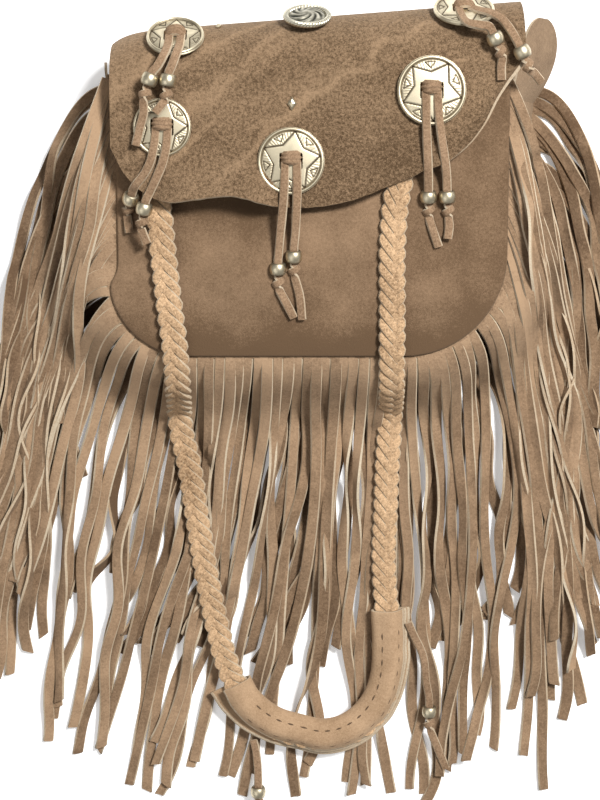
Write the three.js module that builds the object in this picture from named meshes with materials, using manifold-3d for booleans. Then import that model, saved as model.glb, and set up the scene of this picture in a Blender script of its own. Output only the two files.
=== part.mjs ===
// A fringed suede shoulder bag, lying on its back: the back panel on the floor, the front face up (+Z),
// the mouth and the fold of the flap towards +Y, the fringe spread on the floor and the strap laid on top.
// Millimetres. The origin is on the floor, under the middle of the bag and its fringe.
import * as THREE from 'three';
import { mergeVertices } from 'three/addons/utils/BufferGeometryUtils.js';
import Module from 'manifold-3d';

const wasm = await Module();
wasm.setup();

// ---- driving dimensions -------------------------------------------------------------------------
const GAP = 0.3; // clearance left between pieces that touch
const SUEDE = 2; // thickness of the panels
const THIN_SUEDE = 1.5; // thickness of the fringe, the gusset and the laces

// seam outline of the front panel: a U open towards +Y
const SEAM_LEFT = -109;
const SEAM_RIGHT = 118;
const SEAM_BOTTOM = 37;
const SEAM_TOP = 196;
const CORNER_LEFT = 45;
const CORNER_RIGHT = 58;
const SPLAY = 12; // how far the back seam stands outside the front seam
const BACK_SHIFT = 8; // the back also lies this far to the right of the front
const SEAM_WIDTH = 8; // width of the sewn margin

// heights of the stack of pieces in the two seams
const FRONT_SEAM_Z = 48; // underside of the front fringe heading
const BACK_HEADING_Z = SUEDE + GAP; // underside of the back fringe heading
const CROWN = 7; // how far the front panel swells over what the bag holds

// folded sheet: back panel, fold and flap
const FOLD_RADIUS = 32; // outer radius of the fold
const FOLD_Y = 196; // centre line of the fold at x = 0
const FOLD_SLOPE = 0.075; // the fold runs up to the right
const FLAP_RISE = 2; // the free edge of the flap stands this much higher than the fold
const FLAP_LEFT = -105;
const FLAP_RIGHT = 124;

// fringe
const STRIP_PITCH = 21; // three strands of 7 mm
const FRONT_STRIP = 19.4;
const BACK_STRIP = 11; // narrower, so that they lie clear of each other at the sides
const FRONT_FLOOR_Z = 3.5; // underside of the front fringe where it lies on the back fringe
const BACK_FLOOR_Z = 0.3;

// strap and pad
const BRAID_WIDTH = 16;
const BRAID_THICK = 4.5;
const PAD_WIDTH = 30;
const PAD_PLY = 1.8;
const PAD_FLOOR_Z = 9; // underside of the pad, on the fringe

// metal
const CONCHO_RADII = [19, 19, 16, 16, 17]; // the three upper ones are a size smaller
const CONCHO_THICK = 1.6;
const SLOT_WIDTH = 4.8;
const SLOT_HEIGHT = 9;
const BRIDGE = 3.2; // metal left between the two slots
const ROPE_CONCHO_RADIUS = 13;
const BEAD_RADIUS = 4.7;
const BEAD_END_RADIUS = 3.9;
const BEAD_LENGTH = 8;
const BEAD_BORE = 2.9;
const LACE_WIDTH = 5;
const LACE_THICK = 1.5;

const COLOURS = {
  panel: 0x957a61, flap: 0x8b6f55, fringe: 0xa5886c, braid: 0xa9886a, pad: 0xbf9e7b, silver: 0xd8cdb8, antique: 0x95927f,
};

const leather = (colour) => new THREE.MeshStandardMaterial({ color: colour, roughness: 0.95, metalness: 0 });
const metal = (colour) => new THREE.MeshStandardMaterial({ color: colour, roughness: 0.3, metalness: 1 });

// ---- helpers ------------------------------------------------------------------------------------
const bag = new THREE.Group();

function addPiece(name, geometry, material) {
  const mesh = new THREE.Mesh(geometry, material);
  mesh.name = name;
  bag.add(mesh);
  return mesh;
}

// A closed skin over rings of points. Neighbouring rings are joined by quads. The first and last ring
// are closed by triangles over `contour`, the flat shape of a ring, or else by a fan round their middle.
function loftRings(rings, contour) {
  const n = rings[0].length;
  const points = rings.flat();
  const faces = [];
  for (let r = 0; r + 1 < rings.length; r += 1) {
    for (let i = 0; i < n; i += 1) {
      const a = r * n + i;
      const b = r * n + ((i + 1) % n);
      faces.push(a, b, b + n, a, b + n, a + n);
    }
  }
  const lastRing = (rings.length - 1) * n;
  if (contour) {
    const flat = contour.map(([u, v]) => new THREE.Vector2(u, v));
    const turn = THREE.ShapeUtils.isClockWise(flat);
    for (const [a, b, c] of THREE.ShapeUtils.triangulateShape(flat, [])) {
      const [first, last] = turn ? [[a, b, c], [a, c, b]] : [[a, c, b], [a, b, c]];
      faces.push(...first, ...last.map((i) => i + lastRing));
    }
  } else {
    for (const [ring, offset, flip] of [[rings[0], 0, true], [rings[rings.length - 1], lastRing, false]]) {
      points.push(ring.reduce((sum, p) => sum.add(p), new THREE.Vector3()).divideScalar(n));
      for (let i = 0; i < n; i += 1) {
        const [a, b] = [offset + i, offset + ((i + 1) % n)];
        faces.push(points.length - 1, ...(flip ? [b, a] : [a, b]));
      }
    }
  }
  return outward(points, faces);
}

// Turns a closed triangle mesh so that its faces point out, and returns it as a geometry.
function outward(points, faces) {
  let volume = 0;
  for (let i = 0; i < faces.length; i += 3) {
    const [a, b, c] = [points[faces[i]], points[faces[i + 1]], points[faces[i + 2]]];
    volume += a.dot(new THREE.Vector3().crossVectors(b, c));
  }
  const order = volume < 0 ? faces.slice().reverse() : faces;
  const geometry = new THREE.BufferGeometry();
  geometry.setAttribute('position', new THREE.Float32BufferAttribute(points.flatMap((p) => [p.x, p.y, p.z]), 3));
  geometry.setIndex(order);
  return geometry;
}

// A strip of rectangular section along a path. `side` gives the direction of its width at each point.
function sweepStrip(path, width, thick, side) {
  const rings = path.map((p, i) => {
    const before = path[Math.max(i - 1, 0)];
    const after = path[Math.min(i + 1, path.length - 1)];
    const along = after.clone().sub(before).normalize();
    const across = side(i, along).clone();
    across.addScaledVector(along, -across.dot(along)).normalize();
    const up = new THREE.Vector3().crossVectors(across, along).normalize();
    if (up.z < 0) up.negate();
    const corner = (u, v) => p.clone().addScaledVector(across, (u * width) / 2).addScaledVector(up, (v * thick) / 2);
    return [corner(-1, -1), corner(1, -1), corner(1, 1), corner(-1, 1)];
  });
  return loftRings(rings);
}

function toManifold(geometry) {
  const clean = geometry.clone();
  clean.deleteAttribute('normal');
  clean.deleteAttribute('uv');
  const merged = mergeVertices(clean, 1e-3);
  return new wasm.Manifold(new wasm.Mesh({
    numProp: 3,
    vertProperties: new Float32Array(merged.attributes.position.array),
    triVerts: new Uint32Array(merged.index.array),
  }));
}

function fromManifold(solid) {
  const mesh = solid.getMesh();
  const geometry = new THREE.BufferGeometry();
  geometry.setAttribute('position', new THREE.BufferAttribute(new Float32Array(mesh.vertProperties), 3));
  geometry.setIndex(new THREE.BufferAttribute(new Uint32Array(mesh.triVerts), 1));
  return geometry;
}

const joinAll = (geometries) => geometries.map(toManifold).reduce((whole, next) => whole.add(next));

const mix = (a, b, t) => a + (b - a) * t;
const smooth = (t) => t * t * (3 - 2 * t);

// A smooth curve through points given by hand, cut into equal steps.
const through = (points, steps) =>
  new THREE.CatmullRomCurve3(points.map((p) => new THREE.Vector3(...p)), false, 'centripetal').getSpacedPoints(steps);

// ---- seam outline -------------------------------------------------------------------------------
// The U from the top left, round the bottom and up to the top right, moved out by `offset`.
// Each station has its point and the direction that points out of the bag.
function seamPath(offset, sideSteps, cornerSteps, bottomSteps, top = SEAM_TOP) {
  const stations = [];
  const left = SEAM_LEFT + CORNER_LEFT;
  const right = SEAM_RIGHT - CORNER_RIGHT;
  const add = (x, y, nx, ny) => stations.push({
    point: new THREE.Vector2(x + nx * offset, y + ny * offset), out: new THREE.Vector2(nx, ny),
  });
  for (let i = 0; i < sideSteps; i += 1) add(SEAM_LEFT, mix(top, SEAM_BOTTOM + CORNER_LEFT, i / sideSteps), -1, 0);
  for (let i = 0; i < cornerSteps; i += 1) {
    const a = Math.PI + (Math.PI / 2) * (i / cornerSteps);
    const [c, s] = [Math.cos(a), Math.sin(a)];
    add(left + CORNER_LEFT * c, SEAM_BOTTOM + CORNER_LEFT * (1 + s), c, s);
  }
  for (let i = 0; i < bottomSteps; i += 1) add(mix(left, right, i / bottomSteps), SEAM_BOTTOM, 0, -1);
  for (let i = 0; i < cornerSteps; i += 1) {
    const a = (-Math.PI / 2) * (1 - i / cornerSteps);
    const [c, s] = [Math.cos(a), Math.sin(a)];
    add(right + CORNER_RIGHT * c, SEAM_BOTTOM + CORNER_RIGHT * (1 + s), c, s);
  }
  for (let i = 0; i <= sideSteps; i += 1) add(SEAM_RIGHT, mix(SEAM_BOTTOM + CORNER_RIGHT, top, i / sideSteps), 1, 0);
  return stations;
}

// ---- front panel --------------------------------------------------------------------------------
// A crowned plate: rings shaped like the outline shrink towards the middle and rise with 1 - f².
const PANEL_Z = FRONT_SEAM_Z + THIN_SUEDE + GAP;
const panelMiddle = new THREE.Vector2((SEAM_LEFT + SEAM_RIGHT) / 2, (SEAM_BOTTOM + SEAM_TOP) / 2);
const crownAt = (f) => CROWN * (1 - f * f);

function frontPanel() {
  const mouthSteps = 6;
  const outline = seamPath(0, 4, 7, 4).map((s) => s.point);
  for (let i = 1; i < mouthSteps; i += 1) {
    outline.push(new THREE.Vector2(mix(SEAM_RIGHT, SEAM_LEFT, i / mouthSteps), SEAM_TOP));
  }
  const ring = (f, z) => outline.map((p) => {
    const q = p.clone().sub(panelMiddle).multiplyScalar(f).add(panelMiddle);
    return new THREE.Vector3(q.x, q.y, z + crownAt(f));
  });
  const shares = [0.12, 0.4, 0.65, 0.85, 1];
  const under = shares.map((f) => ring(f, PANEL_Z));
  const over = shares.map((f) => ring(f, PANEL_Z + SUEDE)).reverse();
  return loftRings([...under, ...over]);
}

addPiece('front_panel', frontPanel(), leather(COLOURS.panel));

// ---- gusset -------------------------------------------------------------------------------------
// A channel bent round the U: a wall that leans outwards, and a sewn flange turned in at each seam.
// At the mouth its two ends stand proud as rounded ears, which the strap is sewn to.
const GUSSET_LOW = BACK_HEADING_Z + THIN_SUEDE + GAP;
const GUSSET_HIGH = FRONT_SEAM_Z - GAP;

// A point on the leaning wall at height z, moved `inset` into the bag.
function onWall({ point, out }, z, inset) {
  const lean = (GUSSET_HIGH - z) / (GUSSET_HIGH - BACK_HEADING_Z);
  const r = SPLAY * lean - inset;
  return new THREE.Vector3(point.x + out.x * r + BACK_SHIFT * lean, point.y + out.y * r, z);
}

function gusset() {
  const wall = THIN_SUEDE + 0.3; // the wall measured level, across its lean
  const profile = [
    [SEAM_WIDTH, GUSSET_HIGH], [0, GUSSET_HIGH], [0, GUSSET_LOW], [SEAM_WIDTH, GUSSET_LOW],
    [SEAM_WIDTH, GUSSET_LOW + THIN_SUEDE], [wall, GUSSET_LOW + THIN_SUEDE],
    [wall, GUSSET_HIGH - THIN_SUEDE], [SEAM_WIDTH, GUSSET_HIGH - THIN_SUEDE],
  ];
  const rings = seamPath(0, 4, 7, 4).map((station) => profile.map(([inset, z]) => onWall(station, z, inset)));
  return toManifold(loftRings(rings, profile));
}

// An ear: the wall carried on past the mouth, bulging outwards and rounding off.
function ear(side, reach, bulge) {
  const root = { point: new THREE.Vector2(side < 0 ? SEAM_LEFT : SEAM_RIGHT, SEAM_TOP), out: new THREE.Vector2(side, 0) };
  const steps = [[-4, 0, 0], [0.25, 0.7, 0.02], [0.55, 0.95, 0.06], [0.8, 1, 0.14], [0.95, 1, 0.26], [1, 1, 0.36]];
  const rings = steps.map(([along, swell, round]) => {
    const y = along < 0 ? along : along * reach;
    const margin = 2 + round * (GUSSET_HIGH - GUSSET_LOW);
    return [[GUSSET_HIGH - margin, 0], [GUSSET_LOW + margin, 0], [GUSSET_LOW + margin, 1], [GUSSET_HIGH - margin, 1]]
      .map(([z, inner]) => {
        const p = onWall(root, z, inner * (THIN_SUEDE + 0.2) + 0.05);
        return new THREE.Vector3(p.x + side * swell * bulge, p.y + y, p.z);
      });
  });
  return toManifold(loftRings(rings));
}

addPiece('gusset', fromManifold(gusset().add(ear(-1, 8, 2)).add(ear(1, 29, 10))), leather(COLOURS.panel));

// ---- back panel, fold and flap ------------------------------------------------------------------
// One sheet. Rows run across it: over the floor from the rounded bottom, round the fold, and forward
// over the front to the cut edge of the flap, which is a smooth curve through the points below.
const FLAP_EDGE = [
  [FLAP_LEFT, 155], [-96, 139], [-88, 131], [-74, 125], [-61, 126], [-38, 128], [-16, 123], [0, 122], [28, 126],
  [50, 134], [67, 141.5], [83, 148], [99, 164], [110, 184], [FLAP_RIGHT - 2, 201],
];
const flapEdgeAt = (x) => {
  const i = FLAP_EDGE.findIndex(([px]) => px >= x);
  if (i <= 0) return FLAP_EDGE[0][1];
  const [[x0, y0], [x1, y1]] = [FLAP_EDGE[i - 1], FLAP_EDGE[i]];
  return mix(y0, y1, (x - x0) / (x1 - x0));
};
const foldYAt = (x) => FOLD_Y + FOLD_SLOPE * x;
const flapZAt = (y, x) => 2 * FOLD_RADIUS + FLAP_RISE * smooth(THREE.MathUtils.clamp((foldYAt(x) - y) / 70, 0, 1));

function foldedSheet() {
  const columns = 16;
  const backCorner = CORNER_LEFT + SPLAY;
  const backCornerRight = CORNER_RIGHT + SPLAY;
  const backLeft = SEAM_LEFT - SPLAY + BACK_SHIFT;
  const backRight = SEAM_RIGHT + SPLAY + BACK_SHIFT;
  const backBottom = SEAM_BOTTOM - SPLAY;
  const share = Array.from({ length: columns + 1 }, (_, i) => i / columns);
  const rows = []; // each row: one [outer point, inner point] pair per column
  // over the floor: the row at each angle of the rounded corners, then straight up to the fold
  for (let k = 0; k <= 6; k += 1) {
    const a = (Math.PI / 2) * (k / 6);
    const xl = backLeft + backCorner * (1 - Math.sin(a));
    const xr = backRight - backCornerRight * (1 - Math.sin(a));
    rows.push(share.map((t) => {
      const y = backBottom + mix(backCorner, backCornerRight, t) * (1 - Math.cos(a));
      const x = mix(xl, xr, t);
      return [new THREE.Vector3(x, y, 0), new THREE.Vector3(x, y, SUEDE)];
    }));
  }
  for (const k of [0.35, 0.7]) {
    rows.push(share.map((t) => {
      const x = mix(mix(backLeft, FLAP_LEFT, k * k), mix(backRight, FLAP_RIGHT, k * k), t);
      const y = mix(backBottom + mix(backCorner, backCornerRight, t), foldYAt(x), k);
      return [new THREE.Vector3(x, y, 0), new THREE.Vector3(x, y, SUEDE)];
    }));
  }
  // the fold: half a turn
  const turn = 10;
  for (let k = 0; k <= turn; k += 1) {
    const a = Math.PI * (k / turn);
    rows.push(share.map((t) => {
      const x = mix(FLAP_LEFT, FLAP_RIGHT, t);
      const at = (radius) => new THREE.Vector3(x, foldYAt(x) + radius * Math.sin(a), FOLD_RADIUS - radius * Math.cos(a));
      return [at(FOLD_RADIUS), at(FOLD_RADIUS - SUEDE)];
    }));
  }
  // the flap, down to its cut edge
  const flapRows = 4;
  for (let k = 1; k <= flapRows; k += 1) {
    rows.push(share.map((t) => {
      const x = mix(FLAP_LEFT, FLAP_RIGHT - 2 * (k / flapRows), t);
      const y = mix(foldYAt(x), flapEdgeAt(x), k / flapRows);
      const z = flapZAt(y, x);
      return [new THREE.Vector3(x, y, z), new THREE.Vector3(x, y, z - SUEDE)];
    }));
  }
  const rings = rows.map((row) => [...row.map(([outer]) => outer), ...row.map(([, inner]) => inner).reverse()]);
  // the end faces are strips, given a slight bulge so that every point of the ring is a corner of them
  const bulge = (i) => 0.01 * i * (columns - i);
  const outerEdge = share.map((_, i) => [i, -bulge(i)]);
  const innerEdge = share.map((_, i) => [i, 1 + bulge(i)]).reverse();
  return loftRings(rings, [...outerEdge, ...innerEdge]);
}

// ---- conchos and their places -------------------------------------------------------------------
// A place on the outside of the folded sheet: `round` is the angle from straight up, 0 on the flap.
function placeOnFlap(x, y) {
  return { x, y, z: flapZAt(y, x), round: 0 };
}

function placeOnFold(x, degrees) {
  const a = THREE.MathUtils.degToRad(degrees);
  return { x, y: foldYAt(x) + FOLD_RADIUS * Math.sin(a), z: FOLD_RADIUS * (1 + Math.cos(a)), round: -a };
}

const CONCHO_PLACES = [
  placeOnFlap(-5, 147.6), placeOnFlap(72.3, 186), placeOnFlap(-76, 166), placeOnFold(-69, 47), placeOnFold(91, 55),
];

// A frame whose Z leaves the surface, moved out by `lift`.
function onSurface(place, lift) {
  const frame = new THREE.Matrix4().makeRotationX(place.round);
  frame.setPosition(place.x, place.y, place.z);
  return frame.multiply(new THREE.Matrix4().makeTranslation(0, 0, lift));
}

const onSurfaceNormal = ({ round }) => new THREE.Vector3(0, -Math.sin(round), Math.cos(round));

const SLOT_X = (BRIDGE + SLOT_WIDTH) / 2;

// Slits through the suede under the slots of each concho, and the screw hole under the rope concho.
const sheetCuts = [];
for (const place of CONCHO_PLACES) {
  for (const sign of [-1, 1]) {
    const slit = new THREE.BoxGeometry(SLOT_WIDTH, SLOT_HEIGHT, 4 * SUEDE);
    slit.applyMatrix4(onSurface(place, 0).multiply(new THREE.Matrix4().makeTranslation(sign * SLOT_X, 0, -SUEDE / 2)));
    sheetCuts.push(slit);
  }
}
const ropePlace = placeOnFold(4, 60);
const SCREW_RADIUS = 2.2;
const screwHole = new THREE.CylinderGeometry(SCREW_RADIUS + GAP, SCREW_RADIUS + GAP, 4 * SUEDE, 12).rotateX(Math.PI / 2);
screwHole.applyMatrix4(onSurface(ropePlace, -SUEDE / 2));
sheetCuts.push(screwHole);

const sheet = sheetCuts.map(toManifold).reduce((solid, cut) => solid.subtract(cut), toManifold(foldedSheet()));
addPiece('back_panel_flap', fromManifold(sheet), leather(COLOURS.flap));

// A star concho: a disc with a raised rim and two slots either side of a bridge.
function starConcho(radius) {
  const lathe = new THREE.LatheGeometry([
    [0, 0], [radius, 0], [radius, CONCHO_THICK], [radius - 0.8, CONCHO_THICK + 0.6],
    [radius - 1.8, CONCHO_THICK], [0, CONCHO_THICK],
  ].map(([r, z]) => new THREE.Vector2(r, z)), 28).rotateX(Math.PI / 2);
  let solid = toManifold(lathe);
  for (const sign of [-1, 1]) {
    const slot = new THREE.BoxGeometry(SLOT_WIDTH, SLOT_HEIGHT, 8).translate(sign * SLOT_X, 0, 0);
    solid = solid.subtract(toManifold(slot));
  }
  return solid;
}

const CONCHO_LIFT = 1.4; // the flat disc stands off the suede, more where the suede curves
CONCHO_PLACES.forEach((place, i) => {
  const geometry = fromManifold(starConcho(CONCHO_RADII[i]));
  geometry.applyMatrix4(onSurface(place, CONCHO_LIFT));
  addPiece(`concho_${i + 1}`, geometry, metal(COLOURS.silver));
});

// The rope-edged concho: a domed disc whose rim is a ring of beads, on a screw through the suede.
function ropeConcho() {
  const dome = new THREE.LatheGeometry([
    [0, 0], [ROPE_CONCHO_RADIUS - 1, 0], [ROPE_CONCHO_RADIUS - 1, 1.6], [ROPE_CONCHO_RADIUS - 3, 2], [6, 3.6], [0, 4],
  ].map(([r, z]) => new THREE.Vector2(r, z)), 24).rotateX(Math.PI / 2);
  let solid = toManifold(dome);
  const lumps = 18;
  for (let i = 0; i < lumps; i += 1) {
    const a = (2 * Math.PI * i) / lumps;
    const lump = new THREE.OctahedronGeometry(2.1);
    lump.translate((ROPE_CONCHO_RADIUS - 2) * Math.cos(a), (ROPE_CONCHO_RADIUS - 2) * Math.sin(a), 2.1);
    solid = solid.add(toManifold(lump));
  }
  return solid;
}

const ropeGeometry = fromManifold(ropeConcho());
ropeGeometry.applyMatrix4(onSurface(ropePlace, CONCHO_LIFT + 0.6));
addPiece('rope_concho', ropeGeometry, metal(COLOURS.antique));

// Its screw: a flat head inside the fold and a shank that ends just under the concho.
const screw = new THREE.LatheGeometry([
  [0, -SUEDE - GAP - 1.8], [5, -SUEDE - GAP - 1.8], [5, -SUEDE - GAP - 0.6], [SCREW_RADIUS, -SUEDE - GAP - 0.6],
  [SCREW_RADIUS, CONCHO_LIFT + 0.6 - GAP], [0, CONCHO_LIFT + 0.6 - GAP],
].map(([r, z]) => new THREE.Vector2(r, z)), 16).rotateX(Math.PI / 2);
screw.applyMatrix4(onSurface(ropePlace, 0));
addPiece('rope_concho_screw', screw, metal(COLOURS.silver));

// Diamond studs: low four-sided pyramids.
[[placeOnFlap(-4.4, 179), 5.6, 8], [placeOnFold(-45.6, 66), 3.2, 4.4]].forEach(([place, w, h], i) => {
  const stud = new THREE.ConeGeometry(0.5, 1.8, 4).rotateX(Math.PI / 2).scale(w, h, 1);
  stud.applyMatrix4(onSurface(place, GAP + 0.9));
  addPiece(`diamond_stud_${i + 1}`, stud, metal(COLOURS.silver));
});

// ---- fringe -------------------------------------------------------------------------------------
// Each fringe is one strip of suede: a heading sewn into its seam, cut into strands. Where the strands
// end on the floor is given at shares of the way round the U, and the rest lie evenly between.
const FRONT_TIPS = [
  [0, -188, -45], [0.08, -188, -85], [0.16, -186, -125], [0.23, -182, -165], [0.28, -170, -196], [0.33, -140, -212],
  [0.37, -112, -222], [0.43, -80, -233], [0.5, -28, -236], [0.58, 35, -242.4], [0.62, 66, -242.4], [0.68, 105, -235],
  [0.74, 148, -208], [0.8, 178, -172], [0.87, 187, -125], [0.94, 188, -80], [1, 188, -35],
];
const BACK_TIPS = [
  [0, -186, 110], [0.12, -188, 40], [0.23, -184, -45], [0.3, -160, -105], [0.37, -108, -138], [0.45, -60, -145],
  [0.5, -20, -148], [0.6, 60, -150], [0.68, 115, -138], [0.76, 170, -95], [0.85, 186, -20], [1, 190, 110],
];

function tipAt(tips, u) {
  const i = Math.max(1, tips.findIndex(([at]) => at >= u));
  const [[u0, x0, y0], [u1, x1, y1]] = [tips[i - 1], tips[i]];
  const t = (u - u0) / (u1 - u0);
  return new THREE.Vector2(mix(x0, x1, t), mix(y0, y1, t));
}

// The drop of a strand from its seam to the floor: share of the height left at each distance out.
const FRONT_DROP = [[-3, 1], [4, 1], [14, 0.86], [26, 0.5], [37, 0.13], [52, 0]];
const BACK_DROP = [[-3, 1], [3, 1], [13, 0]];

function fringe({ tips, root, drop, seamZ, floorZ, width }) {
  const stations = seamPath(0, 60, 40, 60);
  const lengths = [0];
  stations.slice(1).forEach((s, i) => lengths.push(lengths[i] + s.point.distanceTo(stations[i].point)));
  const total = lengths[lengths.length - 1];
  const middle = THIN_SUEDE / 2;

  const headingProfile = [[-SEAM_WIDTH, 0], [1.5, 0], [1.5, THIN_SUEDE], [-SEAM_WIDTH, THIN_SUEDE]];
  const heading = loftRings(seamPath(0, 4, 7, 4).map((station) => headingProfile.map(([r, z]) => {
    const p = root(station);
    return new THREE.Vector3(p.x + station.out.x * r, p.y + station.out.y * r, seamZ + z);
  })), headingProfile);

  const pieces = [heading];
  const count = Math.floor(total / STRIP_PITCH);
  for (let k = 0; k < count; k += 1) {
    const u = (k + 0.5) / count;
    const lay = 0.08 * (k % 3) - 0.12; // neighbours lie a little over each other
    const station = stations[lengths.findIndex((l) => l >= u * total)];
    const start = root(station);
    const tip = tipAt(tips, u);
    const first = new THREE.Vector2(start.x, start.y);
    const plan = new THREE.CubicBezierCurve(
      first.clone().addScaledVector(station.out, -3), first.clone().addScaledVector(station.out, 48),
      new THREE.Vector2(mix(first.x + station.out.x * 45, tip.x, 0.75), mix(first.y, tip.y, 0.5)), tip,
    );
    const reach = plan.getLength();
    const distances = [...drop.map(([d]) => d), mix(drop.at(-1)[0], reach - 3, 0.5), reach - 3.01];
    const path = distances.map((d, i) => {
      const p = plan.getPointAt((d + 3) / reach);
      const z = mix(floorZ, seamZ, i < drop.length ? drop[i][1] : 0);
      return new THREE.Vector3(p.x, p.y, z + middle + lay);
    });
    const flat = path.map((_, i) => {
      const t = plan.getTangentAt((distances[i] + 3) / reach);
      return new THREE.Vector3(-t.y, t.x, 0);
    });
    pieces.push(sweepStrip(path, width, THIN_SUEDE, (i) => flat[i]));
  }
  return fromManifold(joinAll(pieces));
}

const frontRoot = ({ point }) => point;
const backRoot = (station) => onWall(station, BACK_HEADING_Z, 0);
addPiece('front_fringe', fringe({
  tips: FRONT_TIPS, root: frontRoot, drop: FRONT_DROP, seamZ: FRONT_SEAM_Z, floorZ: FRONT_FLOOR_Z, width: FRONT_STRIP,
}), leather(COLOURS.fringe));
addPiece('back_fringe', fringe({
  tips: BACK_TIPS, root: backRoot, drop: BACK_DROP, seamZ: BACK_HEADING_Z, floorZ: BACK_FLOOR_Z, width: BACK_STRIP,
}), leather(COLOURS.fringe));

// ---- shoulder strap -----------------------------------------------------------------------------
// One braid, sewn to both ears inside the mouth. It comes up over the front panel, under the flap,
// drops over the bottom seam onto the fringe, and runs through the sleeve of the pad.
const BRAID_ROUTE = [
  [-95, 213, 34], [-95, 209, 46], [-93.5, 202, 54.8], [-89, 180, 56.9], [-86, 165, 57.7], [-83, 146, 58.6], [-79.5, 123.5, 59.4],
  [-76.6, 93, 59.4], [-73.6, 64, 58.3], [-71.5, 46, 56.8], [-70.8, 36, 55], [-70.5, 28, 51.4], [-70.6, 19.5, 46],
  [-71.2, 7.5, 29.4], [-72, -3, 14.2], [-71.2, -14, 11], [-68, -28, 10.5], [-62.5, -65, 10.5], [-55.5, -110, 10.5],
  [-50.5, -134, 12], [-46, -152, 14.35], [-40, -168, 14.35], [-30, -184, 14.35], [-18, -195, 14.35],
  [0, -202, 14.35], [22, -203, 14.35], [41, -194, 14.35], [52, -176, 14.35], [55, -152, 14.35],
  [53.2, -124, 14.35], [52, -112, 13.4], [51.1, -92, 10.8], [52, -60, 10.5], [53, -28, 10.5], [53.8, -14, 11],
  [54, -3, 14.2], [53.6, 7.5, 29.4], [53, 19.5, 46], [52.6, 28, 51.4], [52.4, 36, 55.2], [52.3, 46, 57.3],
  [52, 70, 59.8], [51.8, 100, 60.9], [54, 128, 60.9], [62, 156, 59.6], [70, 169, 58.5], [77, 182, 57.1], [90, 198, 56.4],
  [100, 208, 53.6], [104, 215, 45], [105, 219, 34],
];
const levelSide = (_, along) => new THREE.Vector3(along.y, -along.x, 0).normalize();
addPiece('strap_braid', sweepStrip(through(BRAID_ROUTE, 76), BRAID_WIDTH, BRAID_THICK, levelSide), leather(COLOURS.braid));

// ---- shoulder pad -------------------------------------------------------------------------------
// A strip of suede folded along the inside of the curve, with a lining ply between its two faces.
const PAD_ROUTE = [
  [-42, -165], [-34, -182], [-20, -195], [0, -202], [22, -203], [41, -194], [52, -176], [55, -152], [53, -122],
];
const PAD_HEIGHT = 9.9;

function padSection(profile) {
  const path = through(PAD_ROUTE.map(([x, y]) => [x, y, PAD_FLOOR_Z]), 22);
  const rings = path.map((p, i) => {
    const along = path[Math.min(i + 1, path.length - 1)].clone().sub(path[Math.max(i - 1, 0)]);
    const out = new THREE.Vector3(along.y, -along.x, 0).normalize();
    return profile.map(([u, z]) => new THREE.Vector3(p.x + out.x * u, p.y + out.y * u, p.z + z));
  });
  return loftRings(rings, profile);
}

const half = PAD_WIDTH / 2;
addPiece('pad_cover', padSection([
  [-half + 1, 0], [half, 0], [half, PAD_PLY], [-half + PAD_PLY, PAD_PLY], [-half + PAD_PLY, PAD_HEIGHT - PAD_PLY],
  [half, PAD_HEIGHT - PAD_PLY], [half, PAD_HEIGHT], [-half + 1, PAD_HEIGHT], [-half, PAD_HEIGHT - 1], [-half, 1],
]), leather(COLOURS.pad));
addPiece('pad_lining', padSection([
  [-half + PAD_PLY + GAP, PAD_PLY + GAP], [half, PAD_PLY + GAP], [half, PAD_PLY + GAP + 0.8],
  [-half + PAD_PLY + GAP, PAD_PLY + GAP + 0.8],
]), leather(COLOURS.pad));

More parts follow.
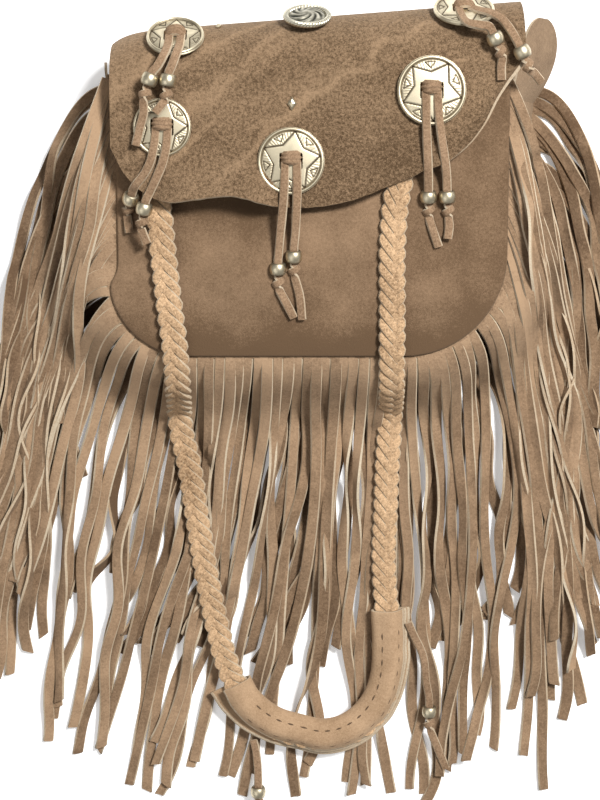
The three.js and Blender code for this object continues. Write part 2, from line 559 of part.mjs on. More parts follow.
// ---- laces and beads ----------------------------------------------------------------------------
// Each concho has one flat lace: a bar over the bridge, a loop behind the suede, and two tails. Each
// tail runs through a bead, is knotted under it and ends cut square. A tail is given by its points in
// order, with the place of the bead and of the knot among them.
const TAILS = {
  1: [
    { points: [[-8.2, 147, 69.8], [-8.5, 138, 70], [-9, 128.5, 70.6], [-9.8, 119, 69.4], [-11, 107, 66.5], [-11.9, 97, 64],
      [-12.3, 88, 62.8], [-11.8, 80, 62], [-8.5, 70, 60], [-3.5, 60, 58]], bead: 6 },
    { points: [[-1.8, 147, 69.8], [-1.6, 138, 70], [-1.6, 128.5, 70.6], [-2, 119, 69.2], [-2.7, 107, 66], [-3.4, 95, 63.6],
      [-2.6, 87, 62.4], [-0.5, 74, 60.2], [1.1, 59, 58]], bead: 5 },
  ],
  2: [
    { points: [[69.1, 185.5, 68.5], [69.3, 176, 68.7], [69.5, 167, 69.3], [70, 157, 68.7], [70.6, 147, 68],
      [71.2, 137, 64.6], [71.6, 128, 61.6], [71.8, 120, 60.8], [74, 111, 59.6], [77.8, 100, 58.8]], bead: 6 },
    { points: [[75.5, 185.5, 68.5], [76, 176, 68.7], [77, 167, 69.3], [78.5, 157, 68.9], [80.3, 147, 66.8],
      [81.6, 137, 63.2], [82.2, 128, 61.6], [83, 119.6, 60.6], [83.6, 112, 59.4], [82.8, 104.6, 60.4]], bead: 6 },
  ],
  3: [
    { points: [[-79.2, 165.5, 68.7], [-80.4, 156, 69], [-82.4, 147.4, 69.6], [-86, 140.5, 69.2], [-90.8, 134.6, 67.6],
      [-94.5, 127, 61], [-95.6, 120, 58.4], [-96, 108, 56.2]], bead: 5 },
    { points: [[-72.8, 165.5, 68.7], [-73.6, 156, 69], [-75.6, 147, 69.7], [-79.4, 138, 69.8], [-83.4, 130, 68.6],
      [-86.4, 121.5, 67.3], [-87, 113.4, 66], [-85.6, 102, 63.4]], bead: 5 },
  ],
  4: [
    { points: [[-72.2, 217.2, 56.6], [-72.6, 211, 63.2], [-74.4, 204.6, 71.6], [-78, 198.4, 72.6], [-82, 191.5, 72.4],
      [-83.4, 184, 72.4], [-85.5, 175, 71.6], [-88, 165, 70.4], [-90.3, 156, 70]], bead: 4 },
    { points: [[-65.8, 217.2, 56.6], [-66.2, 211, 63.2], [-67.6, 204.9, 71.6], [-70, 198.4, 72.6], [-72, 191, 72.6],
      [-72.2, 183.2, 72.8], [-75, 178.5, 73.4], [-79, 173.5, 73.4]], bead: 4 },
  ],
  5: [
    { points: [[87.8, 232.3, 52.7], [88.8, 227.1, 60.1], [92.5, 221.9, 69.4], [98, 220.8, 70.8], [103.4, 219.6, 70.4],
      [106.5, 213.6, 69], [109.4, 206.4, 68.2], [110.4, 200, 66.6], [110.6, 191.6, 66]], bead: 5 },
    { points: [[94.2, 232.3, 52.7], [99, 230.2, 56.4], [104.2, 228.6, 60.4], [110, 225, 64], [115, 218.5, 67.2],
      [118.4, 212.4, 69.2], [121.3, 206.4, 69.4], [124.6, 199.4, 68.6], [129, 195.5, 63], [134, 191, 57]], bead: 6 },
  ],
};
const KNOT_RADIUS = 3.4;
const SIDES = ['left', 'right'];

function bead(centre, along) {
  const profile = [
    [BEAD_BORE, -BEAD_LENGTH / 2], [BEAD_END_RADIUS, -BEAD_LENGTH / 2], [BEAD_RADIUS, -BEAD_LENGTH / 5],
    [BEAD_RADIUS, BEAD_LENGTH / 5], [BEAD_END_RADIUS, BEAD_LENGTH / 2], [BEAD_BORE, BEAD_LENGTH / 2],
    [BEAD_BORE, -BEAD_LENGTH / 2],
  ].map(([r, h]) => new THREE.Vector2(r, h));
  const geometry = mergeVertices(new THREE.LatheGeometry(profile, 10).deleteAttribute('uv').deleteAttribute('normal'));
  geometry.applyQuaternion(new THREE.Quaternion().setFromUnitVectors(new THREE.Vector3(0, 1, 0), along));
  return geometry.translate(centre.x, centre.y, centre.z);
}

// A tail: a flat strip through its points, straight through the bead, with a knot just past it.
function tail({ points, bead: at }, normal) {
  const spots = points.map((p) => new THREE.Vector3(...p));
  const centre = spots[at];
  const along = spots[at + 1].clone().sub(spots[at - 1]).normalize();
  const reach = BEAD_LENGTH / 2 + 1;
  const inBead = [-1, -0.5, 0.5, 1].map((t) => centre.clone().addScaledVector(along, t * reach));
  const route = [...spots.slice(0, at), ...inBead, ...spots.slice(at + 2)];
  const knotCentre = centre.clone().addScaledVector(along, BEAD_LENGTH / 2 + KNOT_RADIUS + GAP);
  const knot = new THREE.IcosahedronGeometry(KNOT_RADIUS).translate(knotCentre.x, knotCentre.y, knotCentre.z);
  const path = new THREE.CatmullRomCurve3(route, false, 'centripetal').getSpacedPoints(16);
  // the strip lies flat on its concho first, then level
  const side = (i, along_) => {
    const up = normal.clone().lerp(new THREE.Vector3(0, 0, 1), smooth(THREE.MathUtils.clamp(i / 4 - 1, 0, 1)));
    return new THREE.Vector3().crossVectors(along_, up).normalize();
  };
  const strip = sweepStrip(path, LACE_WIDTH, LACE_THICK, side);
  return { strip: toManifold(strip).add(toManifold(knot)), centre, along };
}

// The part of a lace at its concho: the bar in front of the bridge, a leg down each slot, and the loop
// behind the suede.
function laceLoop(place) {
  const front = CONCHO_LIFT + CONCHO_THICK + GAP;
  const back = -SUEDE - 3 * GAP - LACE_THICK;
  const box = (w, h, d, x, y, z) => new THREE.BoxGeometry(w, h, d).translate(x, y, z);
  const legHeight = front + LACE_THICK - back;
  const parts = [
    box(2 * SLOT_X + 2, LACE_WIDTH, LACE_THICK, 0, 1.2, front + LACE_THICK / 2),
    box(2 * SLOT_X + 2, LACE_WIDTH, LACE_THICK, 0, 1.2, back + LACE_THICK / 2),
    ...[-1, 1].map((sign) => box(2, LACE_WIDTH, legHeight, sign * SLOT_X, 1.2, (front + LACE_THICK + back) / 2)),
  ];
  return joinAll(parts.map((part) => part.applyMatrix4(onSurface(place, 0))));
}

for (const [number, tails] of Object.entries(TAILS)) {
  const place = CONCHO_PLACES[number - 1];
  let lace = laceLoop(place);
  tails.forEach((spec, i) => {
    const { strip, centre, along } = tail(spec, onSurfaceNormal(place));
    lace = lace.add(strip);
    addPiece(`bead_${number}_${SIDES[i]}`, bead(centre, along), metal(COLOURS.silver));
  });
  addPiece(`lace_${number}`, fromManifold(lace), leather(COLOURS.braid));
}

// The laces that tie the two ends of the pad.
const PAD_TAILS = {
  left: { points: [[-29, -207, 8], [-27.6, -213, 8.6], [-26.4, -222, 9.6], [-26, -231, 9.8], [-26, -240, 9.8], [-26, -248, 9.6],
    [-26, -255, 8.4], [-26, -263, 7]], bead: 4 },
  right: { points: [[66, -130, 15], [69, -137, 14], [75.6, -152, 11.6], [78, -170, 10.4], [79.8, -180, 9.9], [80, -188, 9.8],
    [80, -197, 9.6], [85, -211, 8], [91, -226, 7]], bead: 5 },
};
for (const [side, spec] of Object.entries(PAD_TAILS)) {
  const { strip, centre, along } = tail(spec, new THREE.Vector3(0, 0, 1));
  addPiece(`pad_bead_${side}`, bead(centre, along), metal(COLOURS.silver));
  addPiece(`pad_lace_${side}`, fromManifold(strip), leather(COLOURS.pad));
}

export default bag;
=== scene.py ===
import math

import bmesh
import bpy
import numpy as np
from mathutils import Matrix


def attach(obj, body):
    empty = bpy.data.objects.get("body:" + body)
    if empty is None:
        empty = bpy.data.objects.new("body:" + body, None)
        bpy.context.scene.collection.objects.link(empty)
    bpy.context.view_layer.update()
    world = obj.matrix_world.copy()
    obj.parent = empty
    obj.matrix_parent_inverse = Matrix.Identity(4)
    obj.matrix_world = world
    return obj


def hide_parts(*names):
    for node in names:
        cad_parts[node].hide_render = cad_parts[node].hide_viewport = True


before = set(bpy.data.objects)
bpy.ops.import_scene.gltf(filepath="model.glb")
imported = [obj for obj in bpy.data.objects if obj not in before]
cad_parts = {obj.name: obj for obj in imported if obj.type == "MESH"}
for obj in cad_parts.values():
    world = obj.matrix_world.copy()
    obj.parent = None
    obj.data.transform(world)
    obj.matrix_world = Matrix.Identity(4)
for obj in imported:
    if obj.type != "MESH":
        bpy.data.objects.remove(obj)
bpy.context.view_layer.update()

# ---- view ------------------------------------------------------------------------------------------
# The bag lies on its back and the camera looks down on it, tilted a little towards the mouth.
# The camera is made first, because the cords are measured against what it sees.
TILT = math.radians(8)
DISTANCE = 0.9
TARGET = (0.0, 0.012, 0.05)
camera = bpy.data.objects.new("camera", bpy.data.cameras.new("camera"))
bpy.context.scene.collection.objects.link(camera)
camera.data.lens = 70.43
camera.location = (TARGET[0], TARGET[1] + DISTANCE * math.sin(TILT), TARGET[2] + DISTANCE * math.cos(TILT))
camera.rotation_euler = (-TILT, 0, 0)
bpy.context.scene.camera = camera

# ---- strap -----------------------------------------------------------------------------------------
# The shoulder strap is one flat braid of four suede laces, sewn to both ears of the gusset. It comes
# up out of the mouth, lies over the front, drops onto the fringe and runs through the shoulder pad.
BRAID_ROUTE = [
    (-0.095, 0.213, 0.034), (-0.095, 0.209, 0.046), (-0.0935, 0.202, 0.0548), (-0.089, 0.18, 0.0569),
    (-0.086, 0.165, 0.0577), (-0.083, 0.146, 0.0586), (-0.0795, 0.1235, 0.0594),
    (-0.0766, 0.093, 0.0594), (-0.0736, 0.064, 0.0583), (-0.0715, 0.046, 0.0568),
    (-0.0708, 0.036, 0.055), (-0.0705, 0.028, 0.0514), (-0.0706, 0.0195, 0.046),
    (-0.0712, 0.0075, 0.0294), (-0.072, -0.003, 0.0142), (-0.0712, -0.014, 0.011),
    (-0.068, -0.028, 0.0105), (-0.0625, -0.065, 0.0105), (-0.0555, -0.11, 0.0105),
    (-0.0505, -0.134, 0.012), (-0.046, -0.152, 0.01435), (-0.04, -0.168, 0.01435),
    (-0.03, -0.184, 0.01435), (-0.018, -0.195, 0.01435), (0, -0.202, 0.01435),
    (0.022, -0.203, 0.01435), (0.041, -0.194, 0.01435), (0.052, -0.176, 0.01435),
    (0.055, -0.152, 0.01435), (0.0532, -0.124, 0.01435), (0.052, -0.112, 0.0134),
    (0.0511, -0.092, 0.0108), (0.052, -0.06, 0.0105), (0.053, -0.028, 0.0105),
    (0.0538, -0.014, 0.011), (0.054, -0.003, 0.0142), (0.0536, 0.0075, 0.0294),
    (0.053, 0.0195, 0.046), (0.0526, 0.028, 0.0514), (0.0524, 0.036, 0.0552),
    (0.0523, 0.046, 0.0573), (0.052, 0.07, 0.0598), (0.0518, 0.1, 0.0609), (0.054, 0.128, 0.0609),
    (0.062, 0.156, 0.0596), (0.07, 0.169, 0.0585), (0.077, 0.182, 0.0571), (0.09, 0.198, 0.0564),
    (0.1, 0.208, 0.0536), (0.104, 0.215, 0.045), (0.105, 0.219, 0.034),
]
BRAID_WIDTH = 0.016
BRAID_LACE = 0.0053  # width of one lace of the braid
BRAID_PLY = 0.00145
BRAID_LIFT = 0.0011  # how far a lace rises over its neighbours and sinks under them
BRAID_PERIOD = 0.0316  # one lace's way from edge to edge and back


def unit(vectors):
    """Each vector divided by its length."""
    return vectors / np.maximum(np.linalg.norm(vectors, axis=-1, keepdims=True), 1e-12)


def run_length(path):
    """Distance along a path from its first point to each of its points."""
    return np.concatenate([[0], np.cumsum(np.linalg.norm(np.diff(path, axis=0), axis=1))])


def evenly(path, count):
    """The same path as `count` points at equal distances."""
    at = run_length(path)
    return np.stack([np.interp(np.linspace(0, at[-1], count), at, column) for column in path.T], axis=1)


def through(points, count):
    """A smooth path through points: cubic Hermite pieces over the length of the chords, with the slope at
    each point taken from its neighbours, cut into `count` points at equal distances."""
    p = np.asarray(points, float)
    at = run_length(p)
    slope = np.gradient(p, at, axis=0)
    fine = np.linspace(0, at[-1], 30 * len(p))
    i = np.clip(np.searchsorted(at, fine, side="right") - 1, 0, len(p) - 2)
    span = (at[i + 1] - at[i])[:, None]
    t = (fine - at[i])[:, None] / span
    start = (2 * t**3 - 3 * t**2 + 1) * p[i] + (t**3 - 2 * t**2 + t) * span * slope[i]
    end = (3 * t**2 - 2 * t**3) * p[i + 1] + (t**3 - t**2) * span * slope[i + 1]
    return evenly(start + end, count)


def smoothed(values, width):
    """Values along a path averaged over a bell-shaped window `width` samples wide, ends held."""
    reach = int(3 * width)
    window = np.exp(-0.5 * (np.arange(-reach, reach + 1) / width) ** 2)
    padded = np.concatenate([np.repeat(values[:1], reach, axis=0), values,
                             np.repeat(values[-1:], reach, axis=0)])
    columns = padded.reshape(len(padded), -1)
    result = np.stack([np.convolve(c, window / window.sum(), mode="valid") for c in columns.T], axis=1)
    return result.reshape(values.shape)


def sweep(path, up, profile, roll=0.0):
    """Rings of a profile carried along a path. At each point the profile's first coordinate runs sideways,
    along tangent x up, and its second one along the up that is square to both, turned by `roll`."""
    along = unit(np.gradient(path, axis=0))
    side = unit(np.cross(along, np.broadcast_to(up, path.shape)))
    lift = np.cross(side, along)
    roll = np.broadcast_to(roll, len(path))[:, None]
    profile = np.broadcast_to(profile, (len(path), *np.shape(profile)[-2:]))
    u = profile[..., 0] * np.cos(roll) - profile[..., 1] * np.sin(roll)
    v = profile[..., 0] * np.sin(roll) + profile[..., 1] * np.cos(roll)
    return path[:, None] + side[:, None] * u[..., None] + lift[:, None] * v[..., None]


def lace_profile(width, thick, points=4, bevel=0.0004, cup=0.0):
    """Section of a flat lace: a top row from left to right and a bottom row back, `points` in each. The
    bottom is wider by `bevel` at each side, so the cut edges lean, and the middle sags by `cup`."""
    share = np.linspace(-1, 1, points)
    sag = -cup * (1 - share**2)
    top = np.stack([share * (width / 2 - bevel), thick / 2 + sag], axis=1)
    bottom = np.stack([share * width / 2, -thick / 2 + sag], axis=1)
    return np.concatenate([top, bottom[::-1]])


def lace_faces(rings, points):
    """Quads of a closed lace of that many rings, and which of them are cut edges: the two narrow sides and
    the two ends. Each end is closed by quads between its top row and its bottom row."""
    size = 2 * points
    corner = np.arange((rings - 1) * size).reshape(rings - 1, size)
    after = np.roll(corner, -1, axis=1)
    skin = np.stack([corner, after, after + size, corner + size], axis=-1)
    cut = np.zeros((rings - 1, size), bool)
    cut[:, [points - 1, size - 1]] = True
    i = np.arange(points - 1)
    first = np.stack([i, size - 1 - i, size - 2 - i, i + 1], axis=-1)
    last = first[:, ::-1] + (rings - 1) * size
    faces = np.concatenate([skin.reshape(-1, 4), first, last])
    return faces, np.concatenate([cut.ravel(), np.ones(2 * len(i), bool)])


def add_mesh(name, points, faces, materials, slots=None, values=None, smooth=True, uv=None):
    """A mesh object at the origin from arrays: points, quads, the material slot of each face, named
    values for each point, and a uv place for each point."""
    mesh = bpy.data.meshes.new(name)
    mesh.vertices.add(len(points))
    mesh.vertices.foreach_set("co", np.asarray(points, np.float32).ravel())
    sides = faces.shape[1]
    mesh.loops.add(faces.size)
    mesh.loops.foreach_set("vertex_index", faces.astype(np.int32).ravel())
    mesh.polygons.add(len(faces))
    mesh.polygons.foreach_set("loop_start", np.arange(0, faces.size, sides, dtype=np.int32))
    mesh.polygons.foreach_set("use_smooth", np.full(len(faces), smooth))
    if slots is not None:
        mesh.polygons.foreach_set("material_index", np.asarray(slots, np.int32))
    for title, value in (values or {}).items():
        layer = mesh.attributes.new(title, "FLOAT", "POINT")
        layer.data.foreach_set("value", np.asarray(value, np.float32))
    if uv is not None:
        layer = mesh.uv_layers.new(name="UVMap")
        layer.data.foreach_set("uv", np.asarray(uv, np.float32)[faces.ravel()].ravel())
    mesh.update(calc_edges=True)
    mesh.validate()
    shell = bmesh.new()
    shell.from_mesh(mesh)
    if shell.calc_volume(signed=True) < 0:
        bmesh.ops.reverse_faces(shell, faces=shell.faces)
        shell.to_mesh(mesh)
    shell.free()
    for material in materials:
        mesh.materials.append(material)
    piece = bpy.data.objects.new(name, mesh)
    bpy.context.scene.collection.objects.link(piece)
    return piece


def add_laces(name, laces, points, materials, tints=None):
    """One mesh of several laces, each an array of rings, with one tint for each lace or for each ring. Its
    cut edges take the second material."""
    verts, faces, slots, tint, at = [], [], [], [], 0
    for k, rings in enumerate(laces):
        quads, cut = lace_faces(len(rings), points)
        verts.append(rings.reshape(-1, 3))
        faces.append(quads + at)
        slots.append(cut)
        shade = np.broadcast_to(0.0 if tints is None else tints[k], len(rings))
        tint.append(np.repeat(shade, rings.shape[1]))
        at += rings.shape[0] * rings.shape[1]
    piece = add_mesh(name, np.concatenate(verts), np.concatenate(faces), materials,
                     np.concatenate(slots), {"tint": np.concatenate(tint)})
    return flat_cuts(piece)


def flat_cuts(piece):
    """Marks the edges between faces of two materials as sharp, so that cut edges stay crisp."""
    mesh = piece.data
    count = len(mesh.loops)
    edge, slot = np.zeros(count, np.int32), np.zeros(len(mesh.polygons), np.int32)
    mesh.loops.foreach_get("edge_index", edge)
    mesh.polygons.foreach_get("material_index", slot)
    owner = np.repeat(slot, 4)
    total, cuts = np.bincount(edge, minlength=len(mesh.edges)), np.bincount(edge, owner, len(mesh.edges))
    mesh.edges.foreach_set("use_edge_sharp", (cuts > 0) & (cuts < total))
    return piece


def add_node(tree, kind, inputs=None, **settings):
    """A shader node with its settings, and its inputs given as values or as other nodes' outputs."""
    made = tree.nodes.new(kind)
    for key, value in settings.items():
        setattr(made, key, value)
    for key, value in (inputs or {}).items():
        if isinstance(value, bpy.types.NodeSocket):
            tree.links.new(value, made.inputs[key])
        else:
            made.inputs[key].default_value = value
    return made


def linear(hex_colour):
    """A colour written as RRGGBB, as the linear values that shaders use."""
    parts = [int(hex_colour[i:i + 2], 16) / 255 for i in (0, 2, 4)]
    return (*[c / 12.92 if c < 0.04045 else ((c + 0.055) / 1.055) ** 2.4 for c in parts], 1.0)


def suede_group():
    """The nap of suede, used by every leather of the bag. Colour wanders between Deep and Pale over broad
    brushed patches, over clumps of fibres about 2 mm wide and over single fibres. The same clumps and
    fibres give the height of the bump. Tint from -1 to 1 moves the whole towards Deep or Pale."""
    group = bpy.data.node_groups.new("suede_nap", "ShaderNodeTree")
    for title, kind, value in (
        ("Vector", "NodeSocketVector", None), ("Deep", "NodeSocketColor", None),
        ("Pale", "NodeSocketColor", None),
        ("Patches", "NodeSocketFloat", 0.5), ("Clumps", "NodeSocketFloat", 0.5),
        ("Fibres", "NodeSocketFloat", 0.5),
        ("Clump Size", "NodeSocketFloat", 520.0), ("Depth", "NodeSocketFloat", 0.0004),
        ("Tint", "NodeSocketFloat", 0.0),
    ):
        socket = group.interface.new_socket(name=title, in_out="INPUT", socket_type=kind)
        if value is not None:
            socket.default_value = value
    for title, kind in (("Color", "NodeSocketColor"), ("Height", "NodeSocketFloat"),
                        ("Normal", "NodeSocketVector")):
        group.interface.new_socket(name=title, in_out="OUTPUT", socket_type=kind)
    given = group.nodes.new("NodeGroupInput").outputs

    def noise(scale, detail, roughness=0.6):
        made = add_node(group, "ShaderNodeTexNoise", {
            "Vector": given["Vector"], "Scale": scale, "Detail": detail, "Roughness": roughness,
        })
        centred = add_node(group, "ShaderNodeMath", {0: made.outputs["Fac"], 1: 0.5}, operation="SUBTRACT")
        return centred.outputs[0]

    def times(value, strength):
        return add_node(group, "ShaderNodeMath", {0: value, 1: strength}, operation="MULTIPLY").outputs[0]

    def plus(a, b):
        return add_node(group, "ShaderNodeMath", {0: a, 1: b}, operation="ADD").outputs[0]

    fine_scale = times(given["Clump Size"], 3.1)
    patches = noise(42.0, 3.0)
    clumps = noise(given["Clump Size"], 2.0, 0.7)
    fibres = noise(fine_scale, 2.0, 0.8)
    shade = plus(times(patches, times(given["Patches"], 2.0)), times(clumps, times(given["Clumps"], 2.0)))
    shade = plus(shade, times(fibres, times(given["Fibres"], 2.0)))
    shade = plus(plus(shade, 0.5), times(given["Tint"], 0.25))
    mixed = add_node(group, "ShaderNodeMix", {
        "Factor": shade, "A": given["Deep"], "B": given["Pale"],
    }, data_type="RGBA", clamp_factor=True)
    colour = [s for s in mixed.outputs if s.type == "RGBA"][0]
    height = plus(times(clumps, 0.6), times(fibres, 0.4))
    bump = add_node(group, "ShaderNodeBump", {"Height": height, "Strength": 1.0, "Distance": given["Depth"]})
    add_node(group, "NodeGroupOutput", {"Color": colour, "Height": height, "Normal": bump.outputs["Normal"]})
    return group


SUEDE_NAP = suede_group()


def new_material(name):
    """An empty node material with its Principled shader, and both."""
    material = bpy.data.materials.new(name)
    material.use_nodes = True
    shader = next(n for n in material.node_tree.nodes if n.type == "BSDF_PRINCIPLED")
    return material, material.node_tree, shader


def suede(name, deep, pale, patches=0.5, clumps=0.5, fibres=0.5, clump_size=520.0, depth=0.0004, sheen=0.25):
    """Suede between two colours. Pieces that carry a tint value are lighter or darker by it; the tint holds
    the leather's own tone, and also painted shade on the front panel and the flap and painted light on the
    front strands.
    """
    material, tree, shader = new_material(name)
    coords = add_node(tree, "ShaderNodeTexCoord").outputs["Object"]
    tint = add_node(tree, "ShaderNodeAttribute", attribute_name="tint").outputs["Fac"]
    nap = add_node(tree, "ShaderNodeGroup", node_tree=SUEDE_NAP)
    for key, value in (("Deep", linear(deep)), ("Pale", linear(pale)), ("Patches", patches),
                       ("Clumps", clumps),
                       ("Fibres", fibres), ("Clump Size", clump_size), ("Depth", depth)):
        nap.inputs[key].default_value = value
    tree.links.new(coords, nap.inputs["Vector"])
    tree.links.new(tint, nap.inputs["Tint"])
    tree.links.new(nap.outputs["Color"], shader.inputs["Base Color"])
    tree.links.new(nap.outputs["Normal"], shader.inputs["Normal"])
    shader.inputs["Roughness"].default_value = 0.95
    shader.inputs["Specular IOR Level"].default_value = 0.15
    shader.inputs["Sheen Weight"].default_value = sheen
    shader.inputs["Sheen Roughness"].default_value = 0.6
    shader.inputs["Sheen Tint"].default_value = linear("CDB79C")
    return material


def plan_up(path):
    """The up of a flat strap that lies level from side to side: tangent x a level side, the side taken
    from the route in plan, smoothed where the strap dives."""
    plan = np.gradient(path, axis=0) * (1, 1, 0)
    heading = unit(smoothed(unit(plan), 6))
    side = np.stack([heading[:, 1], -heading[:, 0], np.zeros(len(path))], axis=1)
    return unit(np.cross(side, unit(np.gradient(path, axis=0))))


def braid_laces(route, laces=4, samples=600):
    """Rings of the four laces. Along the braid each lace swings from edge to edge as a rounded triangle
    wave, a quarter period after the one before, and its height is +1 where it lies over a neighbour
    and -1 under it: over two on the way across one way, then under one, over one, under two."""
    centre = through(route, samples)[::-1]
    along = run_length(centre)
    up = plan_up(centre)
    side = unit(np.cross(unit(np.gradient(centre, axis=0)), up))
    swing = (BRAID_WIDTH - BRAID_LACE) / 2
    phases = np.array([0, 1, 2, 3, 4, 5, 6, 7, 8, 9, 10, 11, 12, 13, 14, 15, 16]) / 16
    heights = np.array([0, .7, 1, 1, 1, .2, -1, -.8, 0, .8, 1, 0, -1, -1, -1, -.7, 0])
    rings = []
    for k in range(laces):
        phase = (along / BRAID_PERIOD + k / laces) % 1
        wave = np.arcsin(0.97 * np.cos(2 * math.pi * phase)) / np.arcsin(0.97)
        height = np.interp(phase, phases, heights)
        path = centre + side * (wave * swing)[:, None] + up * (smoothed(height, 1.2) * BRAID_LIFT)[:, None]
        tip = 0.35 * np.sin(2 * math.pi * phase)
        rings.append(sweep(path, up, lace_profile(BRAID_LACE, BRAID_PLY, bevel=0.0006, cup=-0.00045),
                           0.25 * tip))
    return rings, centre


BRAID_SUEDE = suede("braid_suede", "6B5239", "CEAC87", patches=0.5, clumps=0.8, fibres=0.7, clump_size=700.0)
CUT_EDGE = suede("cut_edge", "9A8369", "BAAD97", patches=0.4, clumps=0.7, fibres=0.6, clump_size=900.0,
                 sheen=0.4)
braid_rings, braid_centre = braid_laces(BRAID_ROUTE)
strap = add_laces("strap", braid_rings, 4, [BRAID_SUEDE, CUT_EDGE])
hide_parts("strap_braid")
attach(strap, "root")

# ---- shoulder pad ----------------------------------------------------------------------------------
# A strip of tan suede folded lengthwise round the braid, along the inside of the curve, with a lining
# ply between its two faces. Two rows of dark running stitches hold it; the outer edges are left raw.
PAD_ROUTE = [
    (-0.0405, -0.169), (-0.036, -0.178), (-0.029, -0.186), (-0.018, -0.194), (0, -0.200), (0.012, -0.2027),
    (0.0265, -0.2005), (0.041, -0.191), (0.050, -0.178), (0.0545, -0.163), (0.0555, -0.146), (0.0545, -0.122),
]
PAD_LOW = 0.009
PAD_HEIGHT = 0.0099
PAD_PLY = 0.0018
PAD_INNER = -0.0105  # the folded edge, from the middle of the braid
PAD_TOP_EDGE = 0.0078  # where the top ply is cut
PAD_LINING_EDGE = 0.0100
PAD_BACK_EDGE = 0.0122
STITCH = 0.0042


def pad_frame(count):
    """Points along the middle of the pad, the level direction that points out of its curve, and the share
    of the way along."""
    path = through([(x, y, PAD_LOW) for x, y in PAD_ROUTE], count)
    along = unit(smoothed(np.gradient(path, axis=0), 3))
    return path, np.stack([along[:, 1], -along[:, 0], np.zeros(count)], axis=1), np.linspace(0, 1, count)


def wander(count, waves, seed, size):
    """A slow random wave along `count` points: a sum of sines of rising rate and falling height."""
    draw = np.random.default_rng(seed)
    t = np.linspace(0, 1, count)[:, None]
    rate = np.arange(1, waves + 1)
    return size * (np.sin(2 * math.pi * (rate * t + draw.random(waves)))
                   / np.sqrt(rate)).sum(axis=1) / math.sqrt(waves)


def pad_sheet(count, section, across, both_ends):
    """A closed sheet that follows the pad. `section` gives, for every point along it, the line that the
    middle of the sheet follows, as places out and up; the sheet is half a ply to each side of it."""
    path, out, share = pad_frame(count)
    line = section(share)
    slope = np.gradient(line, axis=1)
    normal = unit(np.stack([-slope[..., 1], slope[..., 0]], axis=-1)) * PAD_PLY / 2
    ring = np.concatenate([line + normal, (line - normal)[:, ::-1]], axis=1)
    points = path[:, None] + out[:, None] * ring[..., :1]
    points[..., 2] += ring[..., 1]
    faces, cut = lace_faces(count, across)
    # the cut edges are the two ends of the line, and so is the frayed strip beside each visible one
    skin = cut[:(count - 1) * 2 * across].reshape(count - 1, 2 * across)
    skin[:, [0, 2 * across - 2]] = True
    if both_ends:
        skin[:, [across - 2, across]] = True
    return points.reshape(-1, 3), faces, cut


def cover_section(share):
    """A U on its side: the back ply from its cut edge in to the fold, round a half circle, and the top ply
    out to its own edge. The edges wave, and the top ply lifts where the left end of the pad gapes."""
    n = len(share)
    ply = np.linspace(0, 1, 14)[None, :]
    bend = np.linspace(0, 1, 9)[None, 1:-1]
    gape = np.clip(1 - share / 0.28, 0, 1)[:, None] ** 1.5
    radius = (PAD_HEIGHT - PAD_PLY) / 2
    low = PAD_PLY / 2
    back_edge = (PAD_BACK_EDGE + wander(n, 14, 3, 0.0007))[:, None] + 0.004 * gape
    top_edge = (PAD_TOP_EDGE + wander(n, 14, 3, 0.0007))[:, None] - 0.001 * gape
    inner = PAD_INNER + radius
    back_x = back_edge + (inner - back_edge) * ply
    back_z = low + 0 * ply + wander(n, 9, 5, 0.0005)[:, None] * (1 - ply) + 0.0004
    bend_x = inner - radius * np.sin(math.pi * bend) + 0 * back_edge
    bend_z = low + radius * (1 - np.cos(math.pi * bend)) + 0 * back_edge
    top_x = inner + (top_edge - inner) * ply
    press = 0.0042 * np.clip((ply - 0.62) / 0.38, 0, 1) ** 1.3 * (1 - gape)
    top_z = (low + 2 * radius - press + wander(n, 16, 6, 0.0007)[:, None] * ply**3
             + 0.0018 * np.sin(math.pi * ply))
    return np.stack([np.concatenate([back_x, bend_x, top_x], axis=1),
                     np.concatenate([back_z, bend_z, top_z], axis=1)], axis=-1)


def lining_section(share):
    """A flat ply over the back one, whose edge shows between the other two and waves with them."""
    n = len(share)
    ply = np.linspace(0, 1, 14)[None, :]
    inner = PAD_INNER + 2.2 * PAD_PLY
    edge = (PAD_LINING_EDGE + wander(n, 14, 3, 0.0008) - 0.008 * np.clip(1 - share / 0.28, 0, 1))[:, None]
    x = edge + (inner - edge) * ply
    z = 1.75 * PAD_PLY + wander(n, 12, 8, 0.0004)[:, None] * (1 - ply) ** 2 + 0 * ply
    return np.stack([x, z + 0.0004], axis=-1)


PAD_SUEDE = suede("pad_suede", "796046", "B89A7B", patches=0.55, clumps=0.35, fibres=0.5, clump_size=800.0)
cover_points, cover_faces, cover_cut = pad_sheet(150, cover_section, 14 + 7 + 14, True)
pad_cover = add_mesh("pad_cover_sheet", cover_points, cover_faces, [PAD_SUEDE, CUT_EDGE], cover_cut)
lining_points, lining_faces, lining_cut = pad_sheet(150, lining_section, 14, False)
pad_lining = add_mesh("pad_lining_sheet", lining_points, lining_faces, [PAD_SUEDE, CUT_EDGE], lining_cut)


